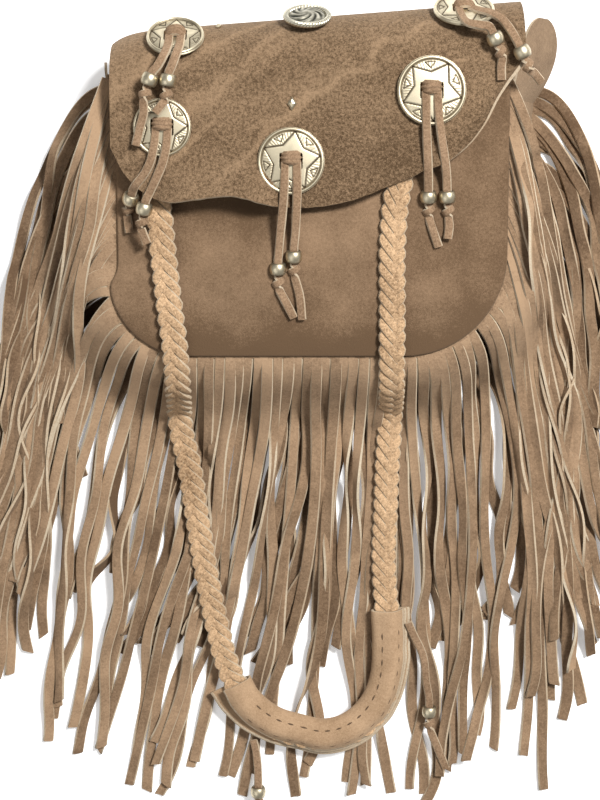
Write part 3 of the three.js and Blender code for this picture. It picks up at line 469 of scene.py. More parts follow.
def pad_stitches():
    """Running stitches sunk in the top ply, near its edge and near the fold: short lozenge sections, a
    stitch long, with a gap of nearly the same length between them."""
    path, out, share = pad_frame(400)
    length = run_length(path)[-1]
    count = int(length / (2 * STITCH))
    section = cover_section(share)
    rings = []
    for column, shift in ((31, 0.5), (22, 0.25)):
        for k in range(2, count - 1):
            a = (k + shift) * 2 * STITCH / length
            at = np.linspace(a, a + STITCH / length, 7)
            i = np.clip((at * 399).astype(int), 0, 399)
            spot = section[i, column]
            centre = path[i] + out[i] * spot[:, :1]
            centre[:, 2] += spot[:, 1] + PAD_PLY / 2 + 0.00012
            swell = np.sin(math.pi * np.linspace(0.08, 0.92, 7))[:, None, None]
            rings.append(sweep(centre, (0, 0, 1), lace_profile(0.0011, 0.0005, 3, 0.0002)[None] * swell))
    return rings


STITCH_THREAD, thread_tree, thread_shader = new_material("stitch_thread")
fine = add_node(thread_tree, "ShaderNodeTexNoise", {"Scale": 2500.0, "Detail": 1.0})
thread_colour = add_node(thread_tree, "ShaderNodeMix", {
    "Factor": fine.outputs["Fac"], "A": linear("33251A"), "B": linear("6B5238"),
}, data_type="RGBA")
thread_tree.links.new(thread_colour.outputs[2], thread_shader.inputs["Base Color"])
thread_shader.inputs["Roughness"].default_value = 0.8
stitches = add_laces("pad_stitches", pad_stitches(), 3, [STITCH_THREAD, STITCH_THREAD])

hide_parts("pad_cover")
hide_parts("pad_lining")
for piece in (pad_cover, pad_lining, stitches):
    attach(piece, "root")

# ---- conchos ---------------------------------------------------------------------------------------
# Five cast discs of pale silver, tarnished in their engraving: a raised round rim, a five-pointed star
# cut in outline, small rays between its points, and two slots with a bridge between them for the lace.
FOLD_RADIUS = 0.032
FOLD_Y = 0.196
FOLD_SLOPE = 0.075
FLAP_RISE = 0.002
CONCHO_RADIUS = 0.019
CONCHO_THICK = 0.0016
CONCHO_LIFT = 0.0014
SLOT_SIZE = (0.0048, 0.009)
SLOT_X = 0.004


def fold_y(x):
    """Where the fold begins: a line that runs up to the right."""
    return FOLD_Y + FOLD_SLOPE * x


def flap_z(x, y):
    """Height of the outside of the flap: a fold's width, and a smooth rise away from the fold."""
    t = np.clip((fold_y(x) - y) / 0.07, 0, 1)
    return 2 * FOLD_RADIUS + FLAP_RISE * t * t * (3 - 2 * t)


def on_flap(x, y):
    """A place on the flap: its point, and how far the surface is turned there."""
    return np.array([x, y, float(flap_z(x, y))]), 0.0


def on_fold(x, degrees):
    """A place round the fold, `degrees` from straight up."""
    a = math.radians(degrees)
    return np.array([x, fold_y(x) + FOLD_RADIUS * math.sin(a), FOLD_RADIUS * (1 + math.cos(a))]), -a


def placed(points, place, lift=0.0, spin=0.0):
    """Points made flat round the origin, spun about Z, lifted and laid on the outside of the sheet."""
    spot, turn = place
    x = points[..., 0] * math.cos(spin) - points[..., 1] * math.sin(spin)
    y = points[..., 0] * math.sin(spin) + points[..., 1] * math.cos(spin)
    z = points[..., 2] + lift
    return np.stack([x + spot[0], y * math.cos(turn) - z * math.sin(turn) + spot[1],
                     y * math.sin(turn) + z * math.cos(turn) + spot[2]], axis=-1)


CONCHO_PLACES = [on_flap(-0.005, 0.1476), on_flap(0.0723, 0.186), on_flap(-0.076, 0.166), on_fold(-0.069, 47),
                 on_fold(0.091, 55)]
STAR_TURNS = [82, 58, 75, 90, 66]  # direction of one point of each star, in degrees
STAR_SIZES = [0.975, 1, 16 / 19, 16 / 19, 17 / 19]  # the three upper ones are a size smaller


def beyond(ax, ay, bx, by, x, y):
    """Signed distance of (x, y) from the line a to b, positive on the side away from the origin."""
    return ((x - ax) * (by - ay) - (y - ay) * (bx - ax)) / math.hypot(bx - ax, by - ay)


def star_relief(r, angle):
    """Height of the front of a disc over its thickness, and how tarnished it is, at radius r and angle.
    The star's outline is a groove along the line from a tip to a notch, folded five times round; each ray
    is a small grooved V between two points; the rim is a half-round ridge; the whole is a low dome."""
    full = CONCHO_RADIUS
    fifth = 2 * math.pi / 5
    folded = np.abs((angle + fifth / 2) % fifth - fifth / 2)
    x, y = r * np.cos(folded), r * np.sin(folded)

    def groove(ax, ay, bx, by, width):
        length = math.hypot(bx - ax, by - ay)
        t = np.clip(((x - ax) * (bx - ax) + (y - ay) * (by - ay)) / length**2, 0, 1)
        gap = np.hypot(x - ax - t * (bx - ax), y - ay - t * (by - ay))
        return np.exp(-((gap / width) ** 2))

    half = fifth / 2
    tip, notch, ray_out, ray_in = 0.885 * full, 0.53 * full, 0.82 * full, 0.64 * full
    outline = groove(tip, 0, notch * math.cos(half), notch * math.sin(half), 0.00034)
    spread = math.radians(10.5)
    ray = groove(ray_in * math.cos(half), ray_in * math.sin(half), ray_out * math.cos(half - spread),
                 ray_out * math.sin(half - spread), 0.00026)
    foot = groove(ray_out * math.cos(half), ray_out * math.sin(half), ray_out * math.cos(half - spread),
                  ray_out * math.sin(half - spread), 0.00026)
    past = beyond(tip, 0, notch * math.cos(half), notch * math.sin(half), x, y)
    outside = 1 / (1 + np.exp(-np.clip(past / 0.0003, -30, 30)))
    rim_at = (r - 0.945 * full) / (0.055 * full)
    rim = np.sqrt(np.clip(1 - rim_at**2, 0, 1))
    valley = np.exp(-(((r - 0.875 * full) / 0.0004) ** 2))
    dome = 0.0007 * (1 - (r / full) ** 2)
    fine = 0.00006 * np.sin(60 * angle) * outside * (r < 0.86 * full)
    height = (dome + fine + 0.0010 * rim - 0.00042 * outline - 0.0003 * np.maximum(ray, foot)
              - 0.00016 * outside)
    tarnish = np.clip(0.95 * outline + 0.8 * np.maximum(ray, foot) + 0.5 * valley + 0.22 * outside - rim,
                      0, 1)
    return height - 0.0002 * valley, tarnish


def cut_holes(piece, cutters):
    """Cuts closed meshes out of a piece and keeps the result as its mesh."""
    for cutter in cutters:
        cut = piece.modifiers.new("cut", "BOOLEAN")
        cut.operation = "DIFFERENCE"
        cut.solver = "EXACT"
        cut.object = cutter
    solid = bpy.data.meshes.new_from_object(piece.evaluated_get(bpy.context.evaluated_depsgraph_get()))
    piece.modifiers.clear()
    piece.data = solid
    for cutter in cutters:
        bpy.data.objects.remove(cutter)
    return solid


def slot_cutter(x):
    """A rounded slot as a tall closed prism: a superellipse outline in plan."""
    a = np.linspace(0, 2 * math.pi, 40, endpoint=False)
    ring = np.stack([x + SLOT_SIZE[0] / 2 * np.sign(np.cos(a)) * np.abs(np.cos(a)) ** 0.28,
                     SLOT_SIZE[1] / 2 * np.sign(np.sin(a)) * np.abs(np.sin(a)) ** 0.28], axis=1)
    heights = np.array([-0.004, 0.006])
    rings = np.concatenate([np.broadcast_to(ring, (2, 40, 2)),
                            np.broadcast_to(heights[:, None, None], (2, 40, 1))],
                           axis=-1)
    return add_mesh("slot_cutter", rings.reshape(-1, 3), lace_faces(2, 20)[0], [])


def star_disc(turn, size):
    """The disc about the origin: a polar grid over its front, down its edge and back under it. One point of
    the star is at the angle `turn`, and the whole is drawn in to `size` times the radius before it is cut."""
    front = np.concatenate([np.linspace(0.0002, 0.86 * CONCHO_RADIUS, 44),
                            np.linspace(0.868, 0.998, 16) * CONCHO_RADIUS])
    angles = np.linspace(0, 2 * math.pi, 240, endpoint=False)
    r, a = np.meshgrid(front, angles, indexing="ij")
    rise, tarnish = star_relief(r, a - turn)
    edge = CONCHO_RADIUS * np.array([1.0, 1.0, 0.985, 0.94, 0.6, 0.2, 0.01])[:, None] + 0 * a[:7]
    low = np.array([0.0012, 0.0003, 0.0, 0.0, 0.0003, 0.0005, 0.0005])[:, None] + 0 * a[:7]
    radius = np.concatenate([r, edge])
    turn = np.concatenate([a, a[:7]])
    height = np.concatenate([CONCHO_THICK + rise - 0.0006 * (r > 0.985 * CONCHO_RADIUS), low])
    points = np.stack([size * radius * np.cos(turn), size * radius * np.sin(turn), height],
                      axis=-1).reshape(-1, 3)
    stain = np.concatenate([tarnish, np.full(edge.shape, 0.35)]).ravel()
    disc = add_mesh("star_disc", points, lace_faces(len(radius), 120)[0], [], values={"tarnish": stain})
    solid = cut_holes(disc, [slot_cutter(-SLOT_X), slot_cutter(SLOT_X)])
    bpy.data.objects.remove(disc)
    return solid


def silver(name, bright, dull, roughness, patina):
    """Metal that is bright where it is rubbed and dull where the tarnish value says, with small scratches
    and cloudy patches in its shine."""
    material, tree, shader = new_material(name)
    coords = add_node(tree, "ShaderNodeTexCoord").outputs["Object"]
    stain = add_node(tree, "ShaderNodeAttribute", attribute_name="tarnish").outputs["Fac"]
    cloud = add_node(tree, "ShaderNodeTexNoise", {"Vector": coords, "Scale": 160.0, "Detail": 4.0,
                                                  "Roughness": 0.65})
    grain = add_node(tree, "ShaderNodeTexNoise", {"Vector": coords, "Scale": 2600.0, "Detail": 2.0})
    spread = add_node(tree, "ShaderNodeMapRange", {
        "Value": cloud.outputs["Fac"], "From Min": 0.35, "From Max": 0.75, "To Min": 0.0, "To Max": patina,
    })
    both = add_node(tree, "ShaderNodeMath", {0: stain, 1: spread.outputs["Result"]}, operation="ADD",
                    use_clamp=True)
    mixed = add_node(tree, "ShaderNodeMix", {
        "Factor": both.outputs[0], "A": linear(bright), "B": linear(dull),
    }, data_type="RGBA")
    tree.links.new(mixed.outputs[2], shader.inputs["Base Color"])
    rough = add_node(tree, "ShaderNodeMapRange", {
        "Value": both.outputs[0], "From Min": 0.0, "From Max": 1.0, "To Min": roughness,
        "To Max": roughness + 0.35,
    })
    tree.links.new(rough.outputs["Result"], shader.inputs["Roughness"])
    bump = add_node(tree, "ShaderNodeBump", {"Height": grain.outputs["Fac"], "Strength": 0.35,
                                             "Distance": 0.00005})
    tree.links.new(bump.outputs["Normal"], shader.inputs["Normal"])
    shader.inputs["Metallic"].default_value = 1.0
    return material


BRIGHT_SILVER = silver("bright_silver", "D6CAAE", "4A3E30", 0.34, 0.35)


def add_copy(name, mesh, material, move):
    """A piece from a mesh made at the origin, with `move` applied to its points."""
    made = mesh.copy()
    made.name = name
    points = np.zeros(len(made.vertices) * 3, np.float32)
    made.vertices.foreach_get("co", points)
    made.vertices.foreach_set("co", move(points.reshape(-1, 3).astype(float)).astype(np.float32).ravel())
    made.materials.clear()
    made.materials.append(material)
    made.update()
    piece = bpy.data.objects.new(name, made)
    bpy.context.scene.collection.objects.link(piece)
    return piece


conchos = []
for number, (place, star_turn, size) in enumerate(zip(CONCHO_PLACES, STAR_TURNS, STAR_SIZES), start=1):
    disc_mesh = star_disc(math.radians(star_turn), size)
    disc = add_copy(f"star_concho_{number}", disc_mesh, BRIGHT_SILVER,
                    lambda p: placed(p, place, CONCHO_LIFT))
    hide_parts(f"concho_{number}")
    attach(disc, "root")
    conchos.append(disc)

# ---- laces and beads -------------------------------------------------------------------------------
# Each concho is tied on with one flat lace. Its bight is a scrunched bar over the bridge and its two
# tails come out under the bar, run through a silver barrel bead each and end in an overhand knot.
LACE_WIDTH = 0.0050
LACE_PLY = 0.0014
KNOT_RADIUS = 0.0042
BEAD_LENGTH = 0.0068
BEAD_RADIUS = 0.0047
BEAD_BORE = 0.0029
TAILS = {
    (1, "left"): (6, [
        (-0.0082, 0.147, 0.0698), (-0.0085, 0.138, 0.07), (-0.009, 0.1285, 0.0706),
        (-0.0098, 0.119, 0.0694), (-0.011, 0.107, 0.0665), (-0.0119, 0.097, 0.064),
        (-0.0123, 0.088, 0.0628), (-0.0118, 0.08, 0.062), (-0.0085, 0.07, 0.06),
        (-0.0035, 0.06, 0.058),
    ]),
    (1, "right"): (5, [
        (-0.0018, 0.147, 0.0698), (-0.0016, 0.138, 0.07), (-0.0016, 0.1285, 0.0706),
        (-0.002, 0.119, 0.0692), (-0.0027, 0.107, 0.066), (-0.0034, 0.095, 0.0636),
        (-0.0026, 0.087, 0.0624), (-0.0005, 0.074, 0.0602), (0.0011, 0.059, 0.058),
    ]),
    (2, "left"): (6, [
        (0.0691, 0.1855, 0.0685), (0.0693, 0.176, 0.0687), (0.0695, 0.167, 0.0693),
        (0.07, 0.157, 0.0687), (0.0706, 0.147, 0.068), (0.0712, 0.137, 0.0646),
        (0.0716, 0.128, 0.0616), (0.0718, 0.12, 0.0608), (0.074, 0.111, 0.0596), (0.0778, 0.1, 0.0588),
    ]),
    (2, "right"): (6, [
        (0.0755, 0.1855, 0.0685), (0.076, 0.176, 0.0687), (0.077, 0.167, 0.0693),
        (0.0785, 0.157, 0.0689), (0.0803, 0.147, 0.0668), (0.0816, 0.137, 0.0632),
        (0.0822, 0.128, 0.0616), (0.083, 0.1196, 0.0606), (0.0836, 0.112, 0.0594),
        (0.0828, 0.1046, 0.0604),
    ]),
    (3, "left"): (5, [
        (-0.0792, 0.1655, 0.0687), (-0.0804, 0.156, 0.069), (-0.0824, 0.1474, 0.0696),
        (-0.086, 0.1405, 0.0692), (-0.0908, 0.1346, 0.0676), (-0.0945, 0.127, 0.061),
        (-0.0956, 0.12, 0.0584), (-0.096, 0.108, 0.0562),
    ]),
    (3, "right"): (5, [
        (-0.0728, 0.1655, 0.0687), (-0.0736, 0.156, 0.069), (-0.0756, 0.147, 0.0697),
        (-0.0794, 0.138, 0.0698), (-0.0834, 0.13, 0.0686), (-0.0864, 0.1215, 0.0673),
        (-0.087, 0.1134, 0.066), (-0.0856, 0.102, 0.0634),
    ]),
    (4, "left"): (4, [
        (-0.0722, 0.2172, 0.0566), (-0.0726, 0.211, 0.0632), (-0.0744, 0.2046, 0.0716),
        (-0.078, 0.1984, 0.0726), (-0.082, 0.1915, 0.0724), (-0.0834, 0.184, 0.0724),
        (-0.0855, 0.175, 0.0716), (-0.088, 0.165, 0.0704), (-0.0903, 0.156, 0.07),
    ]),
    (4, "right"): (4, [
        (-0.0658, 0.2172, 0.0566), (-0.0662, 0.211, 0.0632), (-0.0676, 0.2049, 0.0716),
        (-0.07, 0.1984, 0.0726), (-0.072, 0.191, 0.0726), (-0.0722, 0.1832, 0.0728),
        (-0.075, 0.1785, 0.0734), (-0.079, 0.1735, 0.0734),
    ]),
    (5, "left"): (5, [
        (0.0878, 0.2323, 0.0527), (0.0888, 0.2271, 0.0601), (0.0925, 0.2219, 0.0694),
        (0.098, 0.2208, 0.0708), (0.1034, 0.2196, 0.0704), (0.1065, 0.2136, 0.069),
        (0.1094, 0.2064, 0.0682), (0.1104, 0.2, 0.0666), (0.1106, 0.1916, 0.066),
    ]),
    (5, "right"): (6, [
        (0.0942, 0.2323, 0.0527), (0.099, 0.2302, 0.0564), (0.1042, 0.2286, 0.0604),
        (0.11, 0.225, 0.064), (0.115, 0.2185, 0.0672), (0.1184, 0.2124, 0.0692),
        (0.1213, 0.2064, 0.0694), (0.1246, 0.1994, 0.0686), (0.129, 0.1955, 0.063),
        (0.134, 0.191, 0.057),
    ]),
}
PAD_TAILS = {
    "left": (4, [
        (-0.029, -0.207, 0.008), (-0.0276, -0.213, 0.0086), (-0.0264, -0.222, 0.0096),
        (-0.026, -0.231, 0.0098), (-0.026, -0.24, 0.0098), (-0.026, -0.248, 0.0096),
        (-0.026, -0.255, 0.0084), (-0.026, -0.263, 0.007),
    ]),
    "right": (5, [
        (0.066, -0.13, 0.015), (0.069, -0.137, 0.014), (0.0756, -0.152, 0.0116),
        (0.078, -0.17, 0.0104), (0.0798, -0.18, 0.0099), (0.08, -0.188, 0.0098),
        (0.08, -0.197, 0.0096), (0.085, -0.211, 0.008), (0.091, -0.226, 0.007),
    ]),
}


def ring_faces(rings, size):
    """Quads of a closed ring of profiles: the last ring joins the first, and each profile is closed."""
    corner = np.arange(rings * size).reshape(rings, size)
    beside, onward = np.roll(corner, -1, axis=1), np.roll(corner, -1, axis=0)
    return np.stack([corner, beside, np.roll(beside, -1, axis=0), onward], axis=-1).reshape(-1, 4)


def bead_mesh():
    """A barrel bead about Z: a bulged side, rounded lips and a straight bore, turned round the axis."""
    h = BEAD_LENGTH / 2
    swell = np.linspace(-1, 1, 9)
    side = np.stack([BEAD_RADIUS - 0.0006 * swell**2, 0.82 * h * swell], axis=1)
    lip = np.array([[0.0038, 0.95 * h], [0.0034, h], [0.0030, 0.96 * h], [BEAD_BORE, 0.85 * h]])
    profile = np.concatenate([side, lip, (lip * (1, -1))[::-1]])
    a = np.linspace(0, 2 * math.pi, 28, endpoint=False)[:, None]
    points = np.stack([profile[:, 0] * np.cos(a), profile[:, 0] * np.sin(a), profile[:, 1] + 0 * a], axis=-1)
    wear_and_painted_shade = np.clip(1.4 * np.abs(profile[:, 1]) / h - 0.8, 0, 0.55) + 0 * a
    made = add_mesh("bead", points.reshape(-1, 3), ring_faces(28, len(profile)), [],
                    values={"tarnish": wear_and_painted_shade.ravel()})
    mesh = made.data
    bpy.data.objects.remove(made)
    return mesh


def tail_route(at, points):
    """The route of one tail: through its points, straight through the bead, and through an overhand knot
    just past it. Also gives the bead's middle and direction, the knot's middle and the steps in the knot."""
    spots = np.array(points)
    centre = spots[at]
    along = unit(spots[at + 1] - spots[at - 1])
    in_bead = centre + np.array([-1, -0.5, 0.5, 1])[:, None] * (BEAD_LENGTH / 2 + 0.001) * along
    side = unit(np.cross(along, (0, 0, 1)))
    lift = np.cross(side, along)
    t = np.linspace(-2.05, 2.05, 34)
    fade = 1 - np.clip((np.abs(t) - 1.5) / 0.5, 0, 1) ** 2
    knot_centre = centre + along * (BEAD_LENGTH / 2 + KNOT_RADIUS + 0.0003)
    knot = (knot_centre + 0.00190 * ((t**5 - 10 * t) / 10)[:, None] * along
            + 0.00115 * (fade * (t**3 - 3 * t))[:, None] * side
            + 0.00085 * (fade * (t**4 - 4 * t**2) + 1.6 * fade)[:, None] * lift)
    before = through(np.concatenate([spots[:at], in_bead]), 60)
    after = through(np.concatenate([knot[-1:], spots[at + 2:]]), 34)
    return (np.concatenate([before[:-1], knot, after[1:]]), centre, along, knot_centre,
            slice(len(before) - 1, len(before) + 33))


def lace_rings(route, knot_centre, knotted, first_up, seed):
    """Rings of a lace: flat on its concho first, then level, faced away from the knot's middle inside the
    knot, narrowed where it is pinched in bead and knot, with a slow random roll and a waving width."""
    n = len(route)
    share = np.linspace(0, 1, n)
    level = np.clip(3 * share, 0, 1)[:, None]
    up = unit(np.asarray(first_up) * (1 - level) + np.array([0, 0, 1.0]) * level)
    out = unit(route - knot_centre + 1e-6)
    inside = np.zeros(n)
    inside[knotted] = 1
    inside = smoothed(inside, 2)[:, None]
    along = unit(np.gradient(route, axis=0))
    facing = up * (1 - inside) + out * inside * 1.2
    facing = unit(facing - (facing * along).sum(axis=1, keepdims=True) * along + 1e-9)
    facing = unit(smoothed(facing, 2))
    width = 1 - 0.16 * inside[:, 0] + wander(n, 6, seed, 0.035)
    roll = wander(n, 3, seed + 1, 0.22) * (1 - inside[:, 0]) * np.clip(6 * share, 0, 1)
    profile = lace_profile(LACE_WIDTH, LACE_PLY, 4, 0.0005, -0.00025)[None] * np.stack(
        [width, np.ones(n)], axis=1)[:, None]
    return sweep(route, facing, profile, roll)


def hitch_rings(place, seed):
    """The bight over the bridge: a wide scrunched band that comes up one slot, crosses and goes down the
    other, with lengthwise folds in it that wander."""
    arch = np.array([(-0.0046, 0, -0.0035), (-0.0047, 0, 0.0012), (-0.0044, 0, 0.0042), (-0.0026, 0, 0.0062),
                     (0, 0, 0.0067), (0.0026, 0, 0.0062), (0.0044, 0, 0.0042), (0.0047, 0, 0.0012),
                     (0.0046, 0, -0.0035)])
    arch[:, 1] = 0.0018
    route = through(arch, 44)
    up = unit(np.stack([route[:, 0], np.zeros(44), np.full(44, 0.0035)], axis=1))
    share = np.linspace(-1, 1, 12)
    fold = 0.00055 * np.cos(3.2 * math.pi * share[None] + wander(44, 4, seed, 0.9)[:, None])
    u = share[None] * (0.0037 + wander(44, 4, seed + 1, 0.0003)[:, None])
    crown = -0.0012 * share[None] ** 2
    top = np.stack([u, 0.0010 + fold + crown], axis=-1)
    bottom = np.stack([u * 0.96, -0.0008 + fold + crown], axis=-1)[:, ::-1]
    return placed(sweep(route, up, np.concatenate([top, bottom], axis=1)), place)


LACE_SUEDE = suede("lace_suede", "5D4733", "9A7F65", patches=0.4, clumps=0.8, fibres=0.6, clump_size=800.0)
one_bead = bead_mesh()


def along_axis(points, centre, along):
    """Points made about Z, turned so that Z runs along a direction, and moved to a centre."""
    side = unit(np.cross(along, (0, 0, 1)))
    return points[:, :1] * side + points[:, 1:2] * np.cross(along, side) + points[:, 2:] * along + centre


def add_tail(name, bead_name, spec, first_up, seed, replaced):
    """One tail with its bead; the tail ends in its knot."""
    route, centre, along, knot_centre, knotted = tail_route(*spec)
    rings = lace_rings(route, knot_centre, knotted, first_up, seed)
    tail = add_laces(name, [rings], 4, [LACE_SUEDE, CUT_EDGE])
    bead = add_copy(f"silver_{bead_name}", one_bead, BRIGHT_SILVER, lambda p: along_axis(p, centre, along))
    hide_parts(replaced)
    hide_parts(bead_name)
    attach(tail, "root")
    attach(bead, "root")
    return tail, bead, route


for (number, side_name), spec in TAILS.items():
    place = CONCHO_PLACES[number - 1]
    outward_up = (0, -math.sin(place[1]), math.cos(place[1]))
    tail, bead, route = add_tail(f"lace_{number}_{side_name}", f"bead_{number}_{side_name}", spec, outward_up,
                                 40 * number + 7 * len(side_name), f"lace_{number}")
    if side_name == "left":
        hitch = add_laces(f"lace_{number}_hitch", [hitch_rings(place, 90 + number)], 12,
                          [LACE_SUEDE, CUT_EDGE])
        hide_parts(f"lace_{number}")
        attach(hitch, "root")

for side_name, spec in PAD_TAILS.items():
    tail, bead, route = add_tail(f"pad_lace_{side_name}_tail", f"pad_bead_{side_name}", spec, (0, 0, 1),
                                 300 + 5 * len(side_name), f"pad_lace_{side_name}")

# ---- rope concho and studs -------------------------------------------------------------------------
# The fold carries one smaller dark domed concho with a twisted rope round its rim, held by a screw, and
# two small faceted diamond studs are pressed into the suede.
ROPE_PLACE = on_fold(0.004, 60)
ROPE_RADIUS = 0.013


def rope_dome():
    """The dome about the origin: a low dome with a raised boss, engraved with a ring of petals round it."""
    r = np.concatenate([np.linspace(0.0002, 0.0098, 34),
                        [0.0102, 0.0112, 0.0118, 0.0118, 0.0112, 0.006, 0.0002]])
    a = np.linspace(0, 2 * math.pi, 160, endpoint=False)[None]
    rise = 0.0046 * np.sqrt(np.clip(1 - (r / 0.0125) ** 2, 0, 1))
    height = np.where(np.arange(len(r)) < 34, rise,
                      [*(34 * [0]), 0.0022, 0.0019, 0.0012, 0.0004, 0, 0, 0])[:, None]
    fade = np.exp(-(((r[:, None] - 0.0068) / 0.0026) ** 2)) * (np.arange(len(r)) < 34)[:, None]
    petals = fade * np.cos(8 * a + 1500 * r[:, None])
    boss = 0.0007 * np.exp(-((r[:, None] / 0.0022) ** 2)) * (np.arange(len(r)) < 34)[:, None]
    z = height + 0.00045 * petals + boss
    stain = np.clip(0.55 - 0.45 * petals - 400 * boss, 0, 1)
    points = np.stack([r[:, None] * np.cos(a), r[:, None] * np.sin(a), z], axis=-1)
    return points.reshape(-1, 3), lace_faces(len(r), 80)[0], stain.ravel()


def rope_rim():
    """Three strands twisted round the rim, each a tube whose middle winds about the rim's circle."""
    parts, faces = [], []
    a = np.linspace(0, 2 * math.pi, 180, endpoint=False)
    for k in range(3):
        turn = 14 * a / 1.0 + k * 2 * math.pi / 3
        radius = ROPE_RADIUS - 0.0011 + 0.00085 * np.cos(turn)
        centre = np.stack([radius * np.cos(a), radius * np.sin(a), 0.0021 + 0.00085 * np.sin(turn)], axis=1)
        along = unit(np.roll(centre, -1, axis=0) - np.roll(centre, 1, axis=0))
        out = unit(centre * (1, 1, 0))
        out = unit(out - (out * along).sum(axis=1, keepdims=True) * along)
        b = np.linspace(0, 2 * math.pi, 10, endpoint=False)
        ring = centre[:, None] + 0.00088 * (out[:, None] * np.cos(b)[None, :, None]
                                            + np.cross(along, out)[:, None] * np.sin(b)[None, :, None])
        faces.append(ring_faces(180, 10) + 1800 * k)
        parts.append(ring.reshape(-1, 3))
    return np.concatenate(parts), np.concatenate(faces)


ANTIQUE_SILVER = silver("antique_silver", "D9D3BF", "3F3E36", 0.28, 0.5)
dome_points, dome_faces, dome_stain = rope_dome()
dome = add_mesh("rope_concho_dome", placed(dome_points, ROPE_PLACE, 0.0020), dome_faces, [ANTIQUE_SILVER],
                values={"tarnish": dome_stain})
rim_points, rim_faces = rope_rim()
rim = add_mesh("rope_concho_rim", placed(rim_points, ROPE_PLACE, 0.0020), rim_faces, [ANTIQUE_SILVER])
for piece in (dome, rim):
    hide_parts("rope_concho")
    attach(piece, "root")
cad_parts["rope_concho_screw"].data.materials.clear()
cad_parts["rope_concho_screw"].data.materials.append(BRIGHT_SILVER)


def diamond(width, height):
    """A low four-sided pyramid with a small flat top and a bevelled foot, as rings of four corners."""
    corner = np.array([[width / 2, 0], [0, height / 2], [-width / 2, 0], [0, -height / 2]])
    sizes = np.array([1.0, 1.0, 0.94, 0.55, 0.15])[:, None, None]
    z = np.array([0.0, 0.0004, 0.0008, 0.0016, 0.0019])[:, None, None]
    rings = np.concatenate([corner[None] * sizes, np.broadcast_to(z, (5, 4, 1))], axis=-1)
    return rings.reshape(-1, 3), lace_faces(5, 2)[0]


for number, (place, width, height) in enumerate(
        ((on_flap(-0.0044, 0.179), 0.0056, 0.008), (on_fold(-0.0456, 66), 0.0032, 0.0044)), start=1):
    points, faces = diamond(width, height)
    stud = add_mesh(f"diamond_facets_{number}", placed(points, place, 0.0003), faces, [BRIGHT_SILVER],
                    smooth=False)
    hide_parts(f"diamond_stud_{number}")
    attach(stud, "root")

# ---- front panel -----------------------------------------------------------------------------------
# The front is one panel of smooth grey-brown suede, sewn inside out to the gusset so that its edge rolls
# over the seam. It swells a little over what the bag holds, and is drawn in at its upper left edge.
SEAM_LEFT, SEAM_RIGHT = -0.109, 0.118
SEAM_BOTTOM, SEAM_TOP = 0.037, 0.196
CORNER_LEFT, CORNER_RIGHT = 0.045, 0.058
FRONT_SEAM_Z = 0.048
PANEL_Z = 0.0498
PANEL_PLY = 0.002
PANEL_CROWN = 0.007
FLAP_EDGE = [  # the flap's cut edge, under which the panel sinks a little
    (-0.105, 0.155), (-0.096, 0.139), (-0.088, 0.131), (-0.074, 0.125), (-0.061, 0.126), (-0.038, 0.128),
    (-0.016, 0.123), (0, 0.122), (0.028, 0.126), (0.05, 0.134), (0.067, 0.1415), (0.083, 0.148),
    (0.099, 0.164), (0.11, 0.184), (0.122, 0.201),
]


def seam_line(count, top=SEAM_TOP):
    """`count` points at equal distances round the U of the seam, from the top left round the bottom and up
    to the top right, and the level directions that point out of the bag."""
    a = np.linspace(0, math.pi / 2, 60)
    left = np.stack([SEAM_LEFT + CORNER_LEFT * (1 - np.cos(a)),
                     SEAM_BOTTOM + CORNER_LEFT * (1 - np.sin(a))], axis=1)
    right = np.stack([SEAM_RIGHT - CORNER_RIGHT * (1 - np.cos(a)),
                      SEAM_BOTTOM + CORNER_RIGHT * (1 - np.sin(a))], axis=1)[::-1]
    outline = np.concatenate([[(SEAM_LEFT, top)], left, right, [(SEAM_RIGHT, top)]])
    points = evenly(np.concatenate([outline, np.zeros((len(outline), 1))], axis=1), count)
    along = unit(np.gradient(points, axis=0))
    return points, np.stack([along[:, 1], -along[:, 0], np.zeros(count)], axis=1)


def ripple(x, y, seed, wavelength, size):
    """A slow random swell of a surface: sines in seeded directions, about one wavelength across."""
    draw = np.random.default_rng(seed)
    total = 0 * x
    for angle, phase, stretch in zip(draw.uniform(0, math.pi, 7), draw.uniform(0, 6.3, 7),
                                     draw.uniform(0.6, 1.6, 7)):
        total = total + np.sin(2 * math.pi * (x * math.cos(angle) + y * math.sin(angle)) / wavelength
                               * stretch + phase)
    return size * total / 2.6


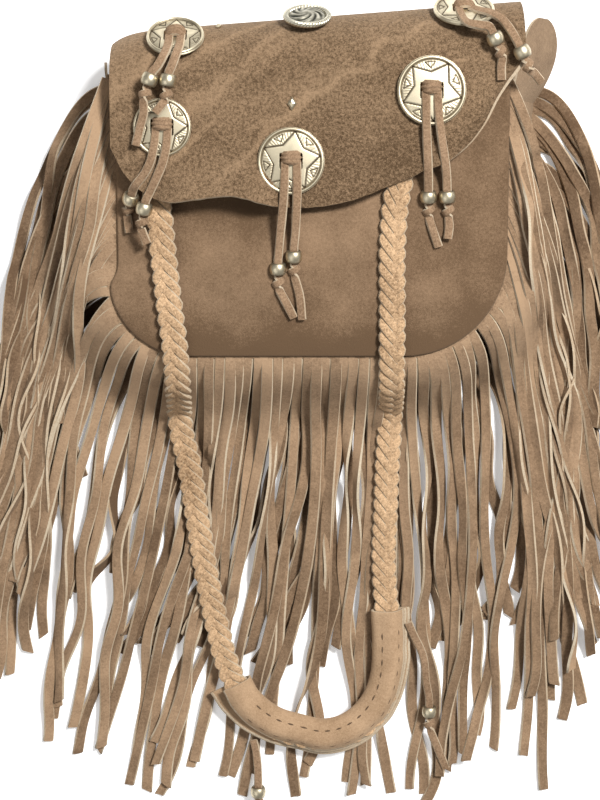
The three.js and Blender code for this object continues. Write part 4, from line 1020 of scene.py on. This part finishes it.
def panel_surface():
    """A closed shell: outlines shrunk towards the middle, raised by the crown and by slow swells; the rim
    turns down in a quarter round, and the underside follows one ply below."""
    side, _ = seam_line(230)
    mouth = np.linspace(side[-1], side[0], 92)[1:-1]
    outline = np.concatenate([side, mouth])[:, :2]
    drawn = 1 / (1 + np.exp(-(outline[:, 1] - 0.082) / 0.0022)) * (outline[:, 0] < -0.09)
    outline[:, 0] += 0.0052 * drawn
    middle = np.array([(SEAM_LEFT + SEAM_RIGHT) / 2, (SEAM_BOTTOM + SEAM_TOP) / 2])
    shares = np.concatenate([np.linspace(0.01, 0.9, 46), np.linspace(0.91, 0.985, 9)])
    turn = np.linspace(0.15, 1, 7) * math.pi / 2
    grow = np.concatenate([shares, 0.985 + 0.013 * np.sin(turn)])
    fall = np.concatenate([0 * shares, PANEL_PLY * (1 - np.cos(turn))])
    xy = middle + (outline - middle)[None] * grow[:, None, None]
    flat = 1 - np.clip(grow / 0.985, 0, 1)[:, None] ** 6
    hollow = np.exp(-(((xy[..., 0] + 0.045) / 0.034) ** 4) - ((xy[..., 1] - 0.122) / 0.016) ** 2)
    swell = PANEL_CROWN * (1 - grow[:, None] ** 3) + flat * (
        ripple(xy[..., 0], xy[..., 1], 21, 0.09, 0.0010) + ripple(xy[..., 0], xy[..., 1], 22, 0.035,
                                                                  0.0004)) - 0.003 * hollow
    covered = np.interp(xy[..., 0], [p[0] for p in FLAP_EDGE], [p[1] for p in FLAP_EDGE])
    swell = swell - 0.0026 * np.clip((xy[..., 1] - covered + 0.006) / 0.012, 0, 1) * flat
    top = np.concatenate([xy, (PANEL_Z + PANEL_PLY + swell - fall[:, None])[..., None]], axis=-1)
    keep = slice(0, len(shares), 3)
    under = np.concatenate([xy[keep], (PANEL_Z + swell[keep])[..., None]], axis=-1)[::-1]
    return np.concatenate([top, under])


PANEL_SUEDE = suede("panel_suede", "584431", "856C54", patches=0.6, clumps=0.55, fibres=0.7, clump_size=700.0,
                    depth=0.0004, sheen=0.2)
panel_rings = panel_surface()
# Tint of the panel: a slow random mottle, plus painted shade: darker towards the bottom edge, which rolls
# away from the light, a painted shadow under the lifted left part of the flap's edge, and darker towards the
# right side.
wear_and_painted_shade = ripple(panel_rings[..., 0], panel_rings[..., 1], 23, 0.06, 0.4) + 0.0
wear_and_painted_shade -= 4.0 * np.clip((0.072 - panel_rings[..., 1]) / 0.034, 0, 1) ** 1.5
wear_and_painted_shade -= 2.5 * np.exp(-(((panel_rings[..., 0] + 0.045) / 0.034) ** 4)
                     - ((panel_rings[..., 1] - 0.125) / 0.009) ** 2)
wear_and_painted_shade -= 1.4 * np.clip((panel_rings[..., 0] - 0.05) / 0.06, 0, 1)
panel = add_mesh("front_panel_shell", panel_rings.reshape(-1, 3),
                 lace_faces(len(panel_rings), panel_rings.shape[1] // 2)[0], [PANEL_SUEDE],
                 values={"tint": wear_and_painted_shade.ravel()})
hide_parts("front_panel")
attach(panel, "root")

# ---- gusset ----------------------------------------------------------------------------------------
# A strip of suede bent round the U between front and back, with a sewn flange at each seam. Its two ends
# stand proud of the mouth as rounded ears, which the strap is sewn to.
SPLAY = 0.012
BACK_SHIFT = 0.008
SEAM_WIDTH = 0.008
GUSSET_LOW, GUSSET_HIGH = 0.0041, 0.0477
GUSSET_PLY = 0.0015


def sheet_rings(middle, ply):
    """A closed sheet round a grid of points: its outside half a ply along the normals, and its inside
    half a ply the other way, joined at the cut edges."""
    normal = unit(np.cross(np.gradient(middle, axis=1), np.gradient(middle, axis=0)))
    return np.concatenate([middle + normal * ply / 2, (middle - normal * ply / 2)[:, ::-1]], axis=1)


def add_sheet(name, middle, ply, materials, values=None):
    """A closed sheet from a grid of points, with the second material on its cut edges."""
    rings = sheet_rings(middle, ply)
    faces, cut = lace_faces(len(rings), middle.shape[1])
    doubled = {key: np.concatenate([v, v[:, ::-1]], axis=1).ravel() for key, v in (values or {}).items()}
    return flat_cuts(add_mesh(name, rings.reshape(-1, 3), faces, materials, cut, doubled))


def gusset_wall(at, out, inset, z):
    """Points on the leaning wall: the lower the further out, by the splay, and the further right."""
    lean = (GUSSET_HIGH - z) / (GUSSET_HIGH - GUSSET_LOW)
    x = at[:, None, 0] + out[:, None, 0] * (SPLAY * lean - inset) + BACK_SHIFT * lean
    y = at[:, None, 1] + out[:, None, 1] * (SPLAY * lean - inset)
    return np.stack([x, y, z + 0 * x], axis=-1)


at, out = seam_line(260)
inset = np.concatenate([np.linspace(SEAM_WIDTH, 0.0018, 4), np.zeros(12) + 0.0009,
                        np.linspace(0.0018, SEAM_WIDTH, 4)])
height = np.concatenate([np.full(4, GUSSET_HIGH - 0.0008), np.linspace(GUSSET_HIGH - 0.003, GUSSET_LOW
                                                                       + 0.003, 12),
                         np.full(4, GUSSET_LOW + 0.0008)])
gather = np.sin(np.arange(260) * 0.9 + wander(260, 12, 31, 2.0))[:, None] * np.sin(
    np.linspace(0, math.pi, 20))[None] * 0.0007
GUSSET_SUEDE = suede("gusset_suede", "53402F", "866F57", patches=0.6, clumps=0.5, fibres=0.5,
                     clump_size=600.0)
gusset = add_sheet("gusset_strip", gusset_wall(at, out, inset[None] + gather, height[None]), GUSSET_PLY,
                   [GUSSET_SUEDE, CUT_EDGE])


def ear_surface(side, start, reach, bulge):
    """An ear: the wall carried on past the mouth, swung outwards, its height closing in a half ellipse."""
    along = np.linspace(0, 1, 30)[:, None]
    up = np.linspace(-1, 1, 24)[None]
    half = (GUSSET_HIGH - GUSSET_LOW) / 2 - 0.002
    z = (GUSSET_HIGH + GUSSET_LOW) / 2 - 0.004 * along + up * half * np.sqrt(np.clip(1
                                                                                     - (along * 0.985) ** 4,
                                                                                     0.02, 1))
    lean = (GUSSET_HIGH - z) / (GUSSET_HIGH - GUSSET_LOW)
    edge = SEAM_LEFT if side < 0 else SEAM_RIGHT
    x = (edge + side * SPLAY * lean + BACK_SHIFT * lean
         + side * bulge * (1 - (1 - along) ** 2.5) * (0.3 + 0.7 * lean) - side * 0.0009)
    y = SEAM_TOP - start + along * (reach + start) + 0 * up
    return np.stack([x, y, z], axis=-1)


for side_name, side, start, reach, bulge in (("left", -1, 0.004, 0.008, 0.002),
                                             ("right", 1, 0.014, 0.033, 0.0145)):
    ear = add_sheet(f"gusset_ear_{side_name}", ear_surface(side, start, reach, bulge), GUSSET_PLY,
                    [GUSSET_SUEDE, CUT_EDGE])
    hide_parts("gusset")
    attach(ear, "root")
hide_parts("gusset")
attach(gusset, "root")

# ---- back panel and flap ---------------------------------------------------------------------------
# One sheet of coarse napped suede makes the back, the fold over the top and the flap, whose edge is cut
# in a free curve and left raw. Brushing and folding have left pale creases that run down to the left.
FLAP_LEFT, FLAP_RIGHT = -0.105, 0.124
FLAP_PLY = 0.002
CREASES = [  # a place on each pale crease, its direction in degrees, its half length and width
    ((-0.055, 0.178), 38, 0.062, 0.0026), ((-0.030, 0.205), 40, 0.05, 0.0022),
    ((-0.085, 0.205), 50, 0.04, 0.0030),
    ((0.020, 0.190), 30, 0.05, 0.0020), ((-0.020, 0.160), 44, 0.04, 0.0018),
    ((0.050, 0.215), 25, 0.05, 0.0024),
    ((-0.070, 0.150), 42, 0.03, 0.0020), ((0.085, 0.200), 34, 0.03, 0.0018),
    ((-0.045, 0.215), 34, 0.05, 0.0016),
]


def sheet_grid(columns=210):
    """The middle of the sheet: rows over the floor from the round bottom, half a turn round the fold, and
    forward over the front to the cut edge. The flap's free edge lifts and waves."""
    share = np.linspace(0, 1, columns)[None]
    left, right = CORNER_LEFT + SPLAY, CORNER_RIGHT + SPLAY
    back_left, back_right = SEAM_LEFT - SPLAY + BACK_SHIFT, SEAM_RIGHT + SPLAY + BACK_SHIFT
    bottom = SEAM_BOTTOM - SPLAY
    half = FLAP_PLY / 2
    a = np.linspace(0, math.pi / 2, 14)[:, None]
    xl, xr = back_left + left * (1 - np.sin(a)), back_right - right * (1 - np.sin(a))
    x1 = xl + (xr - xl) * share
    y1 = bottom + (left + (right - left) * share) * (1 - np.cos(a))
    k = np.linspace(0, 1, 22)[1:-1, None]
    ends = back_left + (FLAP_LEFT - back_left) * k * k, back_right + (FLAP_RIGHT - back_right) * k * k
    x2 = ends[0] + (ends[1] - ends[0]) * share
    base = bottom + left + (right - left) * share
    y2 = base + (fold_y(x2) - base) * k
    a = np.linspace(0, math.pi, 46)[:, None]
    x3 = FLAP_LEFT + (FLAP_RIGHT - FLAP_LEFT) * share + 0 * a
    y3 = fold_y(x3) + (FOLD_RADIUS - half) * np.sin(a)
    z3 = FOLD_RADIUS - (FOLD_RADIUS - half) * np.cos(a) + 0 * share
    k = np.linspace(0, 1, 78)[1:, None]
    cut = through([(x, y, 0) for x, y in FLAP_EDGE], 300)
    x4 = FLAP_LEFT + (FLAP_RIGHT - 0.002 * k - FLAP_LEFT) * share
    edge_y = np.interp(x4, cut[:, 0], cut[:, 1]) + wander(columns, 30, 41, 0.0007)[None]
    y4 = fold_y(x4) + (edge_y - fold_y(x4)) * k
    loose = np.clip((k - 0.35) / 0.65, 0, 1) ** 2
    lift = loose * (0.0080 * np.exp(-(((x4 + 0.045) / 0.034) ** 4)) + 0.0012
                    * np.exp(-(((x4 - 0.03) / 0.03) ** 2))
                    + 0.0034 * np.exp(-(((x4 - 0.110) / 0.022) ** 4))
                    + ripple(x4, y4, 42, 0.06, 0.0007))
    z4 = flap_z(x4, y4) - half + lift + ripple(x4, y4, 43, 0.045, 0.0004) * np.clip(4 * k, 0, 1)
    y3 = y3 - 0.006 * np.sin(a) * np.exp(-share / 0.035)
    flat1, flat2 = half + 0.0002 + 0 * x1, half + 0.0002 + 0 * x2
    return (np.concatenate([x1, x2, x3, x4]), np.concatenate([y1, y2, y3, y4]),
            np.concatenate([flat1, flat2, z3, z4]), len(x1) + len(x2) + 20)


x, y, z, front_row = sheet_grid()
bend = 1.0 * (np.arange(len(x)) >= front_row)[:, None]
run = np.where(y > fold_y(x), fold_y(x) + FOLD_RADIUS * np.arccos(np.clip(z / FOLD_RADIUS - 1, -1, 1)), y)
pale = 0 * x
for (cx, cy), degrees, reach, width in CREASES:
    c, s = math.cos(math.radians(degrees)), math.sin(math.radians(degrees))
    forward = (x - cx) * c + (run - cy) * s
    aside = -(x - cx) * s + (run - cy) * c + ripple(x, run, 44, 0.03, 0.0016)
    pale += np.exp(-((forward / reach) ** 4) - (aside / width) ** 2)
brushed = 0.9 * np.clip((-0.02 - x) / 0.09, 0, 1) * np.clip((run - 0.15) / 0.06, 0, 1)
# Painted shade: the flap is made darker towards its lower right.
painted_shade_low_right = 1.1 * np.clip((x + 0.03) / 0.09, 0, 1) * np.clip((0.175 - run) / 0.04, 0, 1)
shade = bend * (1.5 * np.clip(pale, 0, 1) + brushed - painted_shade_low_right - 0.35 + ripple(x, run, 45, 0.05, 0.2))
z = z + bend * 0.0003 * np.clip(pale, 0, 1)
FLAP_SUEDE = suede("flap_suede", "453422", "8B7258", patches=0.3, clumps=0.95, fibres=1.0, clump_size=620.0,
                   depth=0.0008, sheen=0.2)
flap = add_sheet("back_and_flap", np.stack([x, y, z], axis=-1), FLAP_PLY, [FLAP_SUEDE, CUT_EDGE],
                 {"tint": shade})
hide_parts("back_panel_flap")
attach(flap, "root")

# ---- fringe ----------------------------------------------------------------------------------------
# A band of suede in each seam, cut into strands 7 mm wide: about 285 mm long in the front seam and 180 mm
# in the back one. They hang off the edge of the bag and lie over each other on the floor, laid down one
# by one here, the back ones first and then the front ones from the middle outwards.
STRAND_WIDTH = 0.0068
STRAND_PLY = 0.0014
STRAND_RINGS = 70
CELL = 0.001
PILE_LOW = np.array([-0.225, -0.285])
PILE_SIZE = (450, 560)
FRONT_FALL = [(0, 1), (0.006, 1), (0.014, 0.86), (0.026, 0.5), (0.037, 0.13), (0.052, 0)]
STRAP_CLEAR = 0.0080  # the fringe stays under this height where the strap or the pad lies on it
FRONT_TIPS = [  # share of the way round the U, where the strands end there, and how much they start outwards
    (0, -0.188, -0.045, 0.20), (0.08, -0.188, -0.085, 0.22), (0.16, -0.186, -0.125, 0.30),
    (0.23, -0.182, -0.165, 0.55), (0.28, -0.170, -0.196, 0.85), (0.33, -0.140, -0.212, 1.0),
    (0.37, -0.112, -0.222, 1.0), (0.43, -0.080, -0.233, 1.0), (0.5, -0.028, -0.236, 1.0),
    (0.58, 0.035, -0.2424, 1.0), (0.62, 0.066, -0.2424, 1.0), (0.68, 0.105, -0.235, 0.95),
    (0.74, 0.145, -0.208, 0.7), (0.8, 0.164, -0.176, 0.34), (0.87, 0.170, -0.130, 0.26),
    (0.94, 0.168, -0.090, 0.24), (1, 0.168, -0.055, 0.24),
]
BACK_TIPS = [
    (0, -0.172, 0.010, 0.6), (0.12, -0.178, -0.020, 0.6), (0.23, -0.172, -0.075, 0.8),
    (0.3, -0.150, -0.115, 1.0),
    (0.37, -0.105, -0.138, 1.0), (0.45, -0.060, -0.145, 1.0), (0.5, -0.020, -0.148, 1.0),
    (0.6, 0.060, -0.150, 1.0),
    (0.68, 0.110, -0.138, 1.0), (0.76, 0.158, -0.100, 0.8), (0.85, 0.184, -0.050, 0.6),
    (1, 0.186, 0.020, 0.6),
]


def past_seam(x, y):
    """Level distance outside the front seam, negative inside it."""
    side = np.maximum(SEAM_LEFT - x, x - SEAM_RIGHT)
    straight = np.maximum(side, SEAM_BOTTOM - y)
    left = np.hypot(x - SEAM_LEFT - CORNER_LEFT, y - SEAM_BOTTOM - CORNER_LEFT) - CORNER_LEFT
    right = np.hypot(x - SEAM_RIGHT + CORNER_RIGHT, y - SEAM_BOTTOM - CORNER_RIGHT) - CORNER_RIGHT
    in_left = (x < SEAM_LEFT + CORNER_LEFT) & (y < SEAM_BOTTOM + CORNER_LEFT)
    in_right = (x > SEAM_RIGHT - CORNER_RIGHT) & (y < SEAM_BOTTOM + CORNER_RIGHT)
    return np.where(in_left, left, np.where(in_right, right, straight))


def pile_cell(points):
    """The cell of the pile that each point lies in."""
    cell = np.floor((points[..., :2] - PILE_LOW) / CELL).astype(int)
    return np.clip(cell[..., 0], 0, PILE_SIZE[0] - 1), np.clip(cell[..., 1], 0, PILE_SIZE[1] - 1)


gx, gy = np.meshgrid(PILE_LOW[0] + (np.arange(PILE_SIZE[0]) + 0.5) * CELL,
                     PILE_LOW[1] + (np.arange(PILE_SIZE[1]) + 0.5) * CELL, indexing="ij")
pile = np.where(past_seam(gx - 0.004, gy) < 0.013, 0.004, 0.0)
ceiling = np.full(PILE_SIZE, 1.0)
for i in range(-11, 12, 2):
    for line, half, low in ((braid_centre, 0.009, STRAP_CLEAR), (pad_frame(200)[0], 0.0165, STRAP_CLEAR)):
        sideways = unit(np.gradient(line, axis=0))[:, [1, 0, 2]] * (1, -1, 0)
        under = line[line[:, 1] < -0.012] + sideways[line[:, 1] < -0.012] * half * i / 11
        cx, cy = pile_cell(under)
        ceiling[cx, cy] = low


def strand_plan(root, out, tip, lean, draw, bow):
    """The way of a strand in plan: a cubic Bezier curve from inside the seam, outwards by `lean` and else
    straight down, then down to its tip, with a slow wander that grows towards the tip."""
    down = np.array([0.0, -1.0])
    start = unit(out * lean + down * (1 - lean) * 1.1)
    length = np.linalg.norm(tip - root)
    first = root - start * 0.004
    second = root + start * (0.030 + 0.06 * length) * bow
    third = tip + (root + start * 0.045 * bow + down * 0.05 - tip) * 0.55
    t = np.linspace(0, 1, 160)[:, None]
    curve = ((1 - t)**3 * first + 3 * t * (1 - t)**2 * second + 3 * t**2 * (1 - t) * third + t**3 * tip)
    curve = evenly(np.concatenate([curve, 0 * t], axis=1), STRAND_RINGS)
    s = np.linspace(0, 1, STRAND_RINGS)
    rate = np.array([0.8, 1.7, 2.9, 4.3])
    size = np.array([1.0, 0.7, 0.4, 0.22]) * draw.normal(0, 1, 4) * 0.0040
    sway = (np.sin(2 * math.pi * (rate * s[:, None]) + draw.uniform(0, 6.3, 4)) * size).sum(axis=1) * s**0.8
    along = unit(np.gradient(curve, axis=0))
    side = np.stack([along[:, 1], -along[:, 0], 0 * s], axis=1)
    return curve + side * (sway * np.clip(s * 5, 0, 1))[:, None], side


def lay_strand(root, out, tip, lean, width, draw, top_z, fall, bow):
    """Rings of one strand, laid on the pile as it is so far: at each point it lies on the highest thing under
    its width, or on its fall from the seam if that is higher, smoothed; then the pile rises by it."""
    plan, side = strand_plan(root, out, tip, lean, draw, bow)
    fine = np.linspace(0, STRAND_RINGS - 1, 4 * STRAND_RINGS)
    ring = np.arange(STRAND_RINGS)
    s = np.linspace(0, 1, STRAND_RINGS)
    turns = draw.random(4)
    roll = 0.34 * np.sin(2 * math.pi * (1.3 * s + turns[0])) + 0.16 * np.sin(2 * math.pi
                                                                             * (3.1 * s + turns[1]))
    if turns[2] < 0.4:
        roll = roll + (1.15 if turns[3] < 0.5
                       else -1.15) * np.exp(-(((s - 0.25 - 0.6 * draw.random()) / 0.12) ** 2))
    roll = roll * np.clip(s * 4, 0, 1)
    reach = np.linspace(-0.5, 0.5, 9)[None, :, None] * width
    foot = np.stack([np.interp(fine, ring, column) for column in plan.T], axis=1)[:, None] + np.stack(
        [np.interp(fine, ring, column) for column in side.T], axis=1)[:, None] * reach
    cx, cy = pile_cell(foot)
    under = pile[cx, cy].max(axis=1).reshape(STRAND_RINGS, 4).max(axis=1)
    distance = np.array([past_seam(*p[:2]) for p in plan])
    hang = top_z * np.interp(distance, [f[0] for f in fall], [f[1] for f in fall])
    under = np.minimum(under, hang + 0.012 * np.clip((s - 0.035) / 0.13, 0, 1))
    rise = np.abs(np.sin(roll)) * width * 0.42
    z = np.maximum(under, hang) + STRAND_PLY / 2 + rise
    z = np.maximum(smoothed(np.maximum(z, smoothed(z, 1.5)), 1.2), under + STRAND_PLY / 2)
    limit = ceiling[cx, cy].min(axis=1).reshape(STRAND_RINGS, 4).min(axis=1) - STRAND_PLY / 2 - rise
    z = np.where(limit < 0.5, np.minimum(z, np.maximum(limit, 0.0012)), z)
    z = smoothed(z, 0.8)
    z[:3] = np.maximum(z[:3], top_z + STRAND_PLY / 2)
    pile[cx, cy] = np.maximum(pile[cx, cy], (np.interp(fine, ring, z) + STRAND_PLY / 2)[:, None])
    cup = draw.uniform(-0.0007, 0.0009) * np.clip(s * 3, 0, 1)
    taper = width * (1 + wander(STRAND_RINGS, 5, int(draw.integers(1 << 30)), 0.03))
    profile = np.stack([lace_profile(w, STRAND_PLY, 4, 0.0006, c) for w, c in zip(taper, cup)])
    rings = sweep(plan + np.array([0, 0, 1.0]) * z[:, None], (0, 0, 1), profile, roll)
    along = unit(plan[-1] - plan[-3])
    slant = draw.normal(0, 0.35)
    rings[-1] += along * (profile[-1][:, :1] * slant)
    rings[..., 2] = np.maximum(rings[..., 2], 0.0002)
    return rings


def add_fringe(name, tips, count, shift, lift, top_z, fall, seed, spread):
    """Both the band in the seam and its strands, laid from the middle of the U outwards."""
    draw = np.random.default_rng(seed)
    at, out = seam_line(400, 0.192)
    at = at + out * shift + np.array([BACK_SHIFT if shift else 0, 0, 0])
    band = sweep(at - out * 0.0035 + np.array([0, 0, lift + STRAND_PLY / 2]), (0, 0, 1),
                 lace_profile(0.009, STRAND_PLY, 4, 0.0))
    table = np.array(tips)
    laces = [band]
    shares = (np.arange(count) + 0.5) / count
    order = np.argsort(np.abs(shares - 0.5) + draw.normal(0, 0.02, count))
    for k in order:
        u = shares[k] + draw.normal(0, 0.1) / count
        spot = int(np.clip(u, 0, 1) * 399)
        tip = np.array([np.interp(u, table[:, 0], table[:, 1]), np.interp(u, table[:, 0], table[:, 2])])
        tip = tip + draw.normal(0, 1, 2) * spread + draw.normal(0, 1, 2) * abs(out[spot, 0]) * (0.014, 0.012)
        tip[0] = np.clip(tip[0], -0.2, 0.2)
        lean = np.interp(u, table[:, 0], table[:, 3]) * draw.uniform(0.8, 1.2 + 1.1 * abs(out[spot, 0]))
        width = STRAND_WIDTH * draw.uniform(0.88, 1.06)
        laces.append(lay_strand(at[spot, :2], out[spot, :2], tip, lean, width, draw, top_z, fall,
                                draw.uniform(0.8, 1.15)))
    # Painted light: the front strands are made lighter over about their first quarter, just below the seam.
    painted_light_near_seam = 0.9 * np.exp(-((np.linspace(0, 1, STRAND_RINGS) / 0.28) ** 2)) * (shift == 0)
    tints = [0.0, *(draw.normal(0, 0.6, count)[:, None] + painted_light_near_seam - 1.1 * (shift > 0))]
    piece = add_laces(name, laces, 4, [FRINGE_SUEDE, CUT_EDGE], tints)
    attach(piece, "root")
    return piece


FRINGE_SUEDE = suede("fringe_suede", "564230", "9B8065", patches=0.6, clumps=0.45, fibres=0.6,
                     clump_size=650.0)
back_fringe = add_fringe("back_strands", BACK_TIPS, 94, SPLAY, 0.0023, 0.0023,
                         [(0, 1), (0.02, 1), (0.03, 0.2)], 51,
                         (0.006, 0.010))
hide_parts("back_fringe")
pile = np.maximum(pile, np.where(past_seam(gx, gy) < 0, FRONT_SEAM_Z, 0))
front_fringe = add_fringe("front_strands", FRONT_TIPS, 90, 0.0, FRONT_SEAM_Z, FRONT_SEAM_Z, FRONT_FALL, 52,
                          (0.007, 0.009))
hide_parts("front_fringe")

# ---- floor and light -------------------------------------------------------------------------------
# A pale floor and soft studio light, which aren't part of the bag.
floor_mesh = bpy.data.meshes.new("floor")
floor_mesh.from_pydata([(-3, -3, 0), (3, -3, 0), (3, 3, 0), (-3, 3, 0)], [], [(0, 1, 2, 3)])
floor = bpy.data.objects.new("floor", floor_mesh)
bpy.context.scene.collection.objects.link(floor)
FLOOR_PAINT, _, floor_shader = new_material("floor_paint")
floor_shader.inputs["Base Color"].default_value = (0.92, 0.92, 0.92, 1)
floor_shader.inputs["Roughness"].default_value = 0.9
floor_shader.inputs["Emission Color"].default_value = (1, 1, 1, 1)
floor_shader.inputs["Emission Strength"].default_value = 0.25
floor_mesh.materials.append(FLOOR_PAINT)


def add_light(name, place, size, power, colour=(1, 1, 1)):
    """A square soft light at a place, facing the middle of the bag."""
    data = bpy.data.lights.new(name, "AREA")
    data.size = size
    data.energy = power
    data.color = colour
    light = bpy.data.objects.new(name, data)
    bpy.context.scene.collection.objects.link(light)
    light.location = place
    back = unit(np.array(place) - np.array([0, 0.03, 0.03]))
    light.rotation_euler = (math.acos(back[2]), 0, math.atan2(back[1], back[0]) + math.pi / 2)


add_light("key", (0.75, 0.85, 1.6), 0.35, 60)
add_light("fill", (-1.1, -0.6, 1.5), 1.4, 8)
world = bpy.data.worlds.new("studio")
bpy.context.scene.world = world
world.use_nodes = True
world.node_tree.nodes["Background"].inputs["Color"].default_value = (1, 1, 1, 1)
world.node_tree.nodes["Background"].inputs["Strength"].default_value = 0.32
bpy.context.scene.view_settings.view_transform = "Standard"
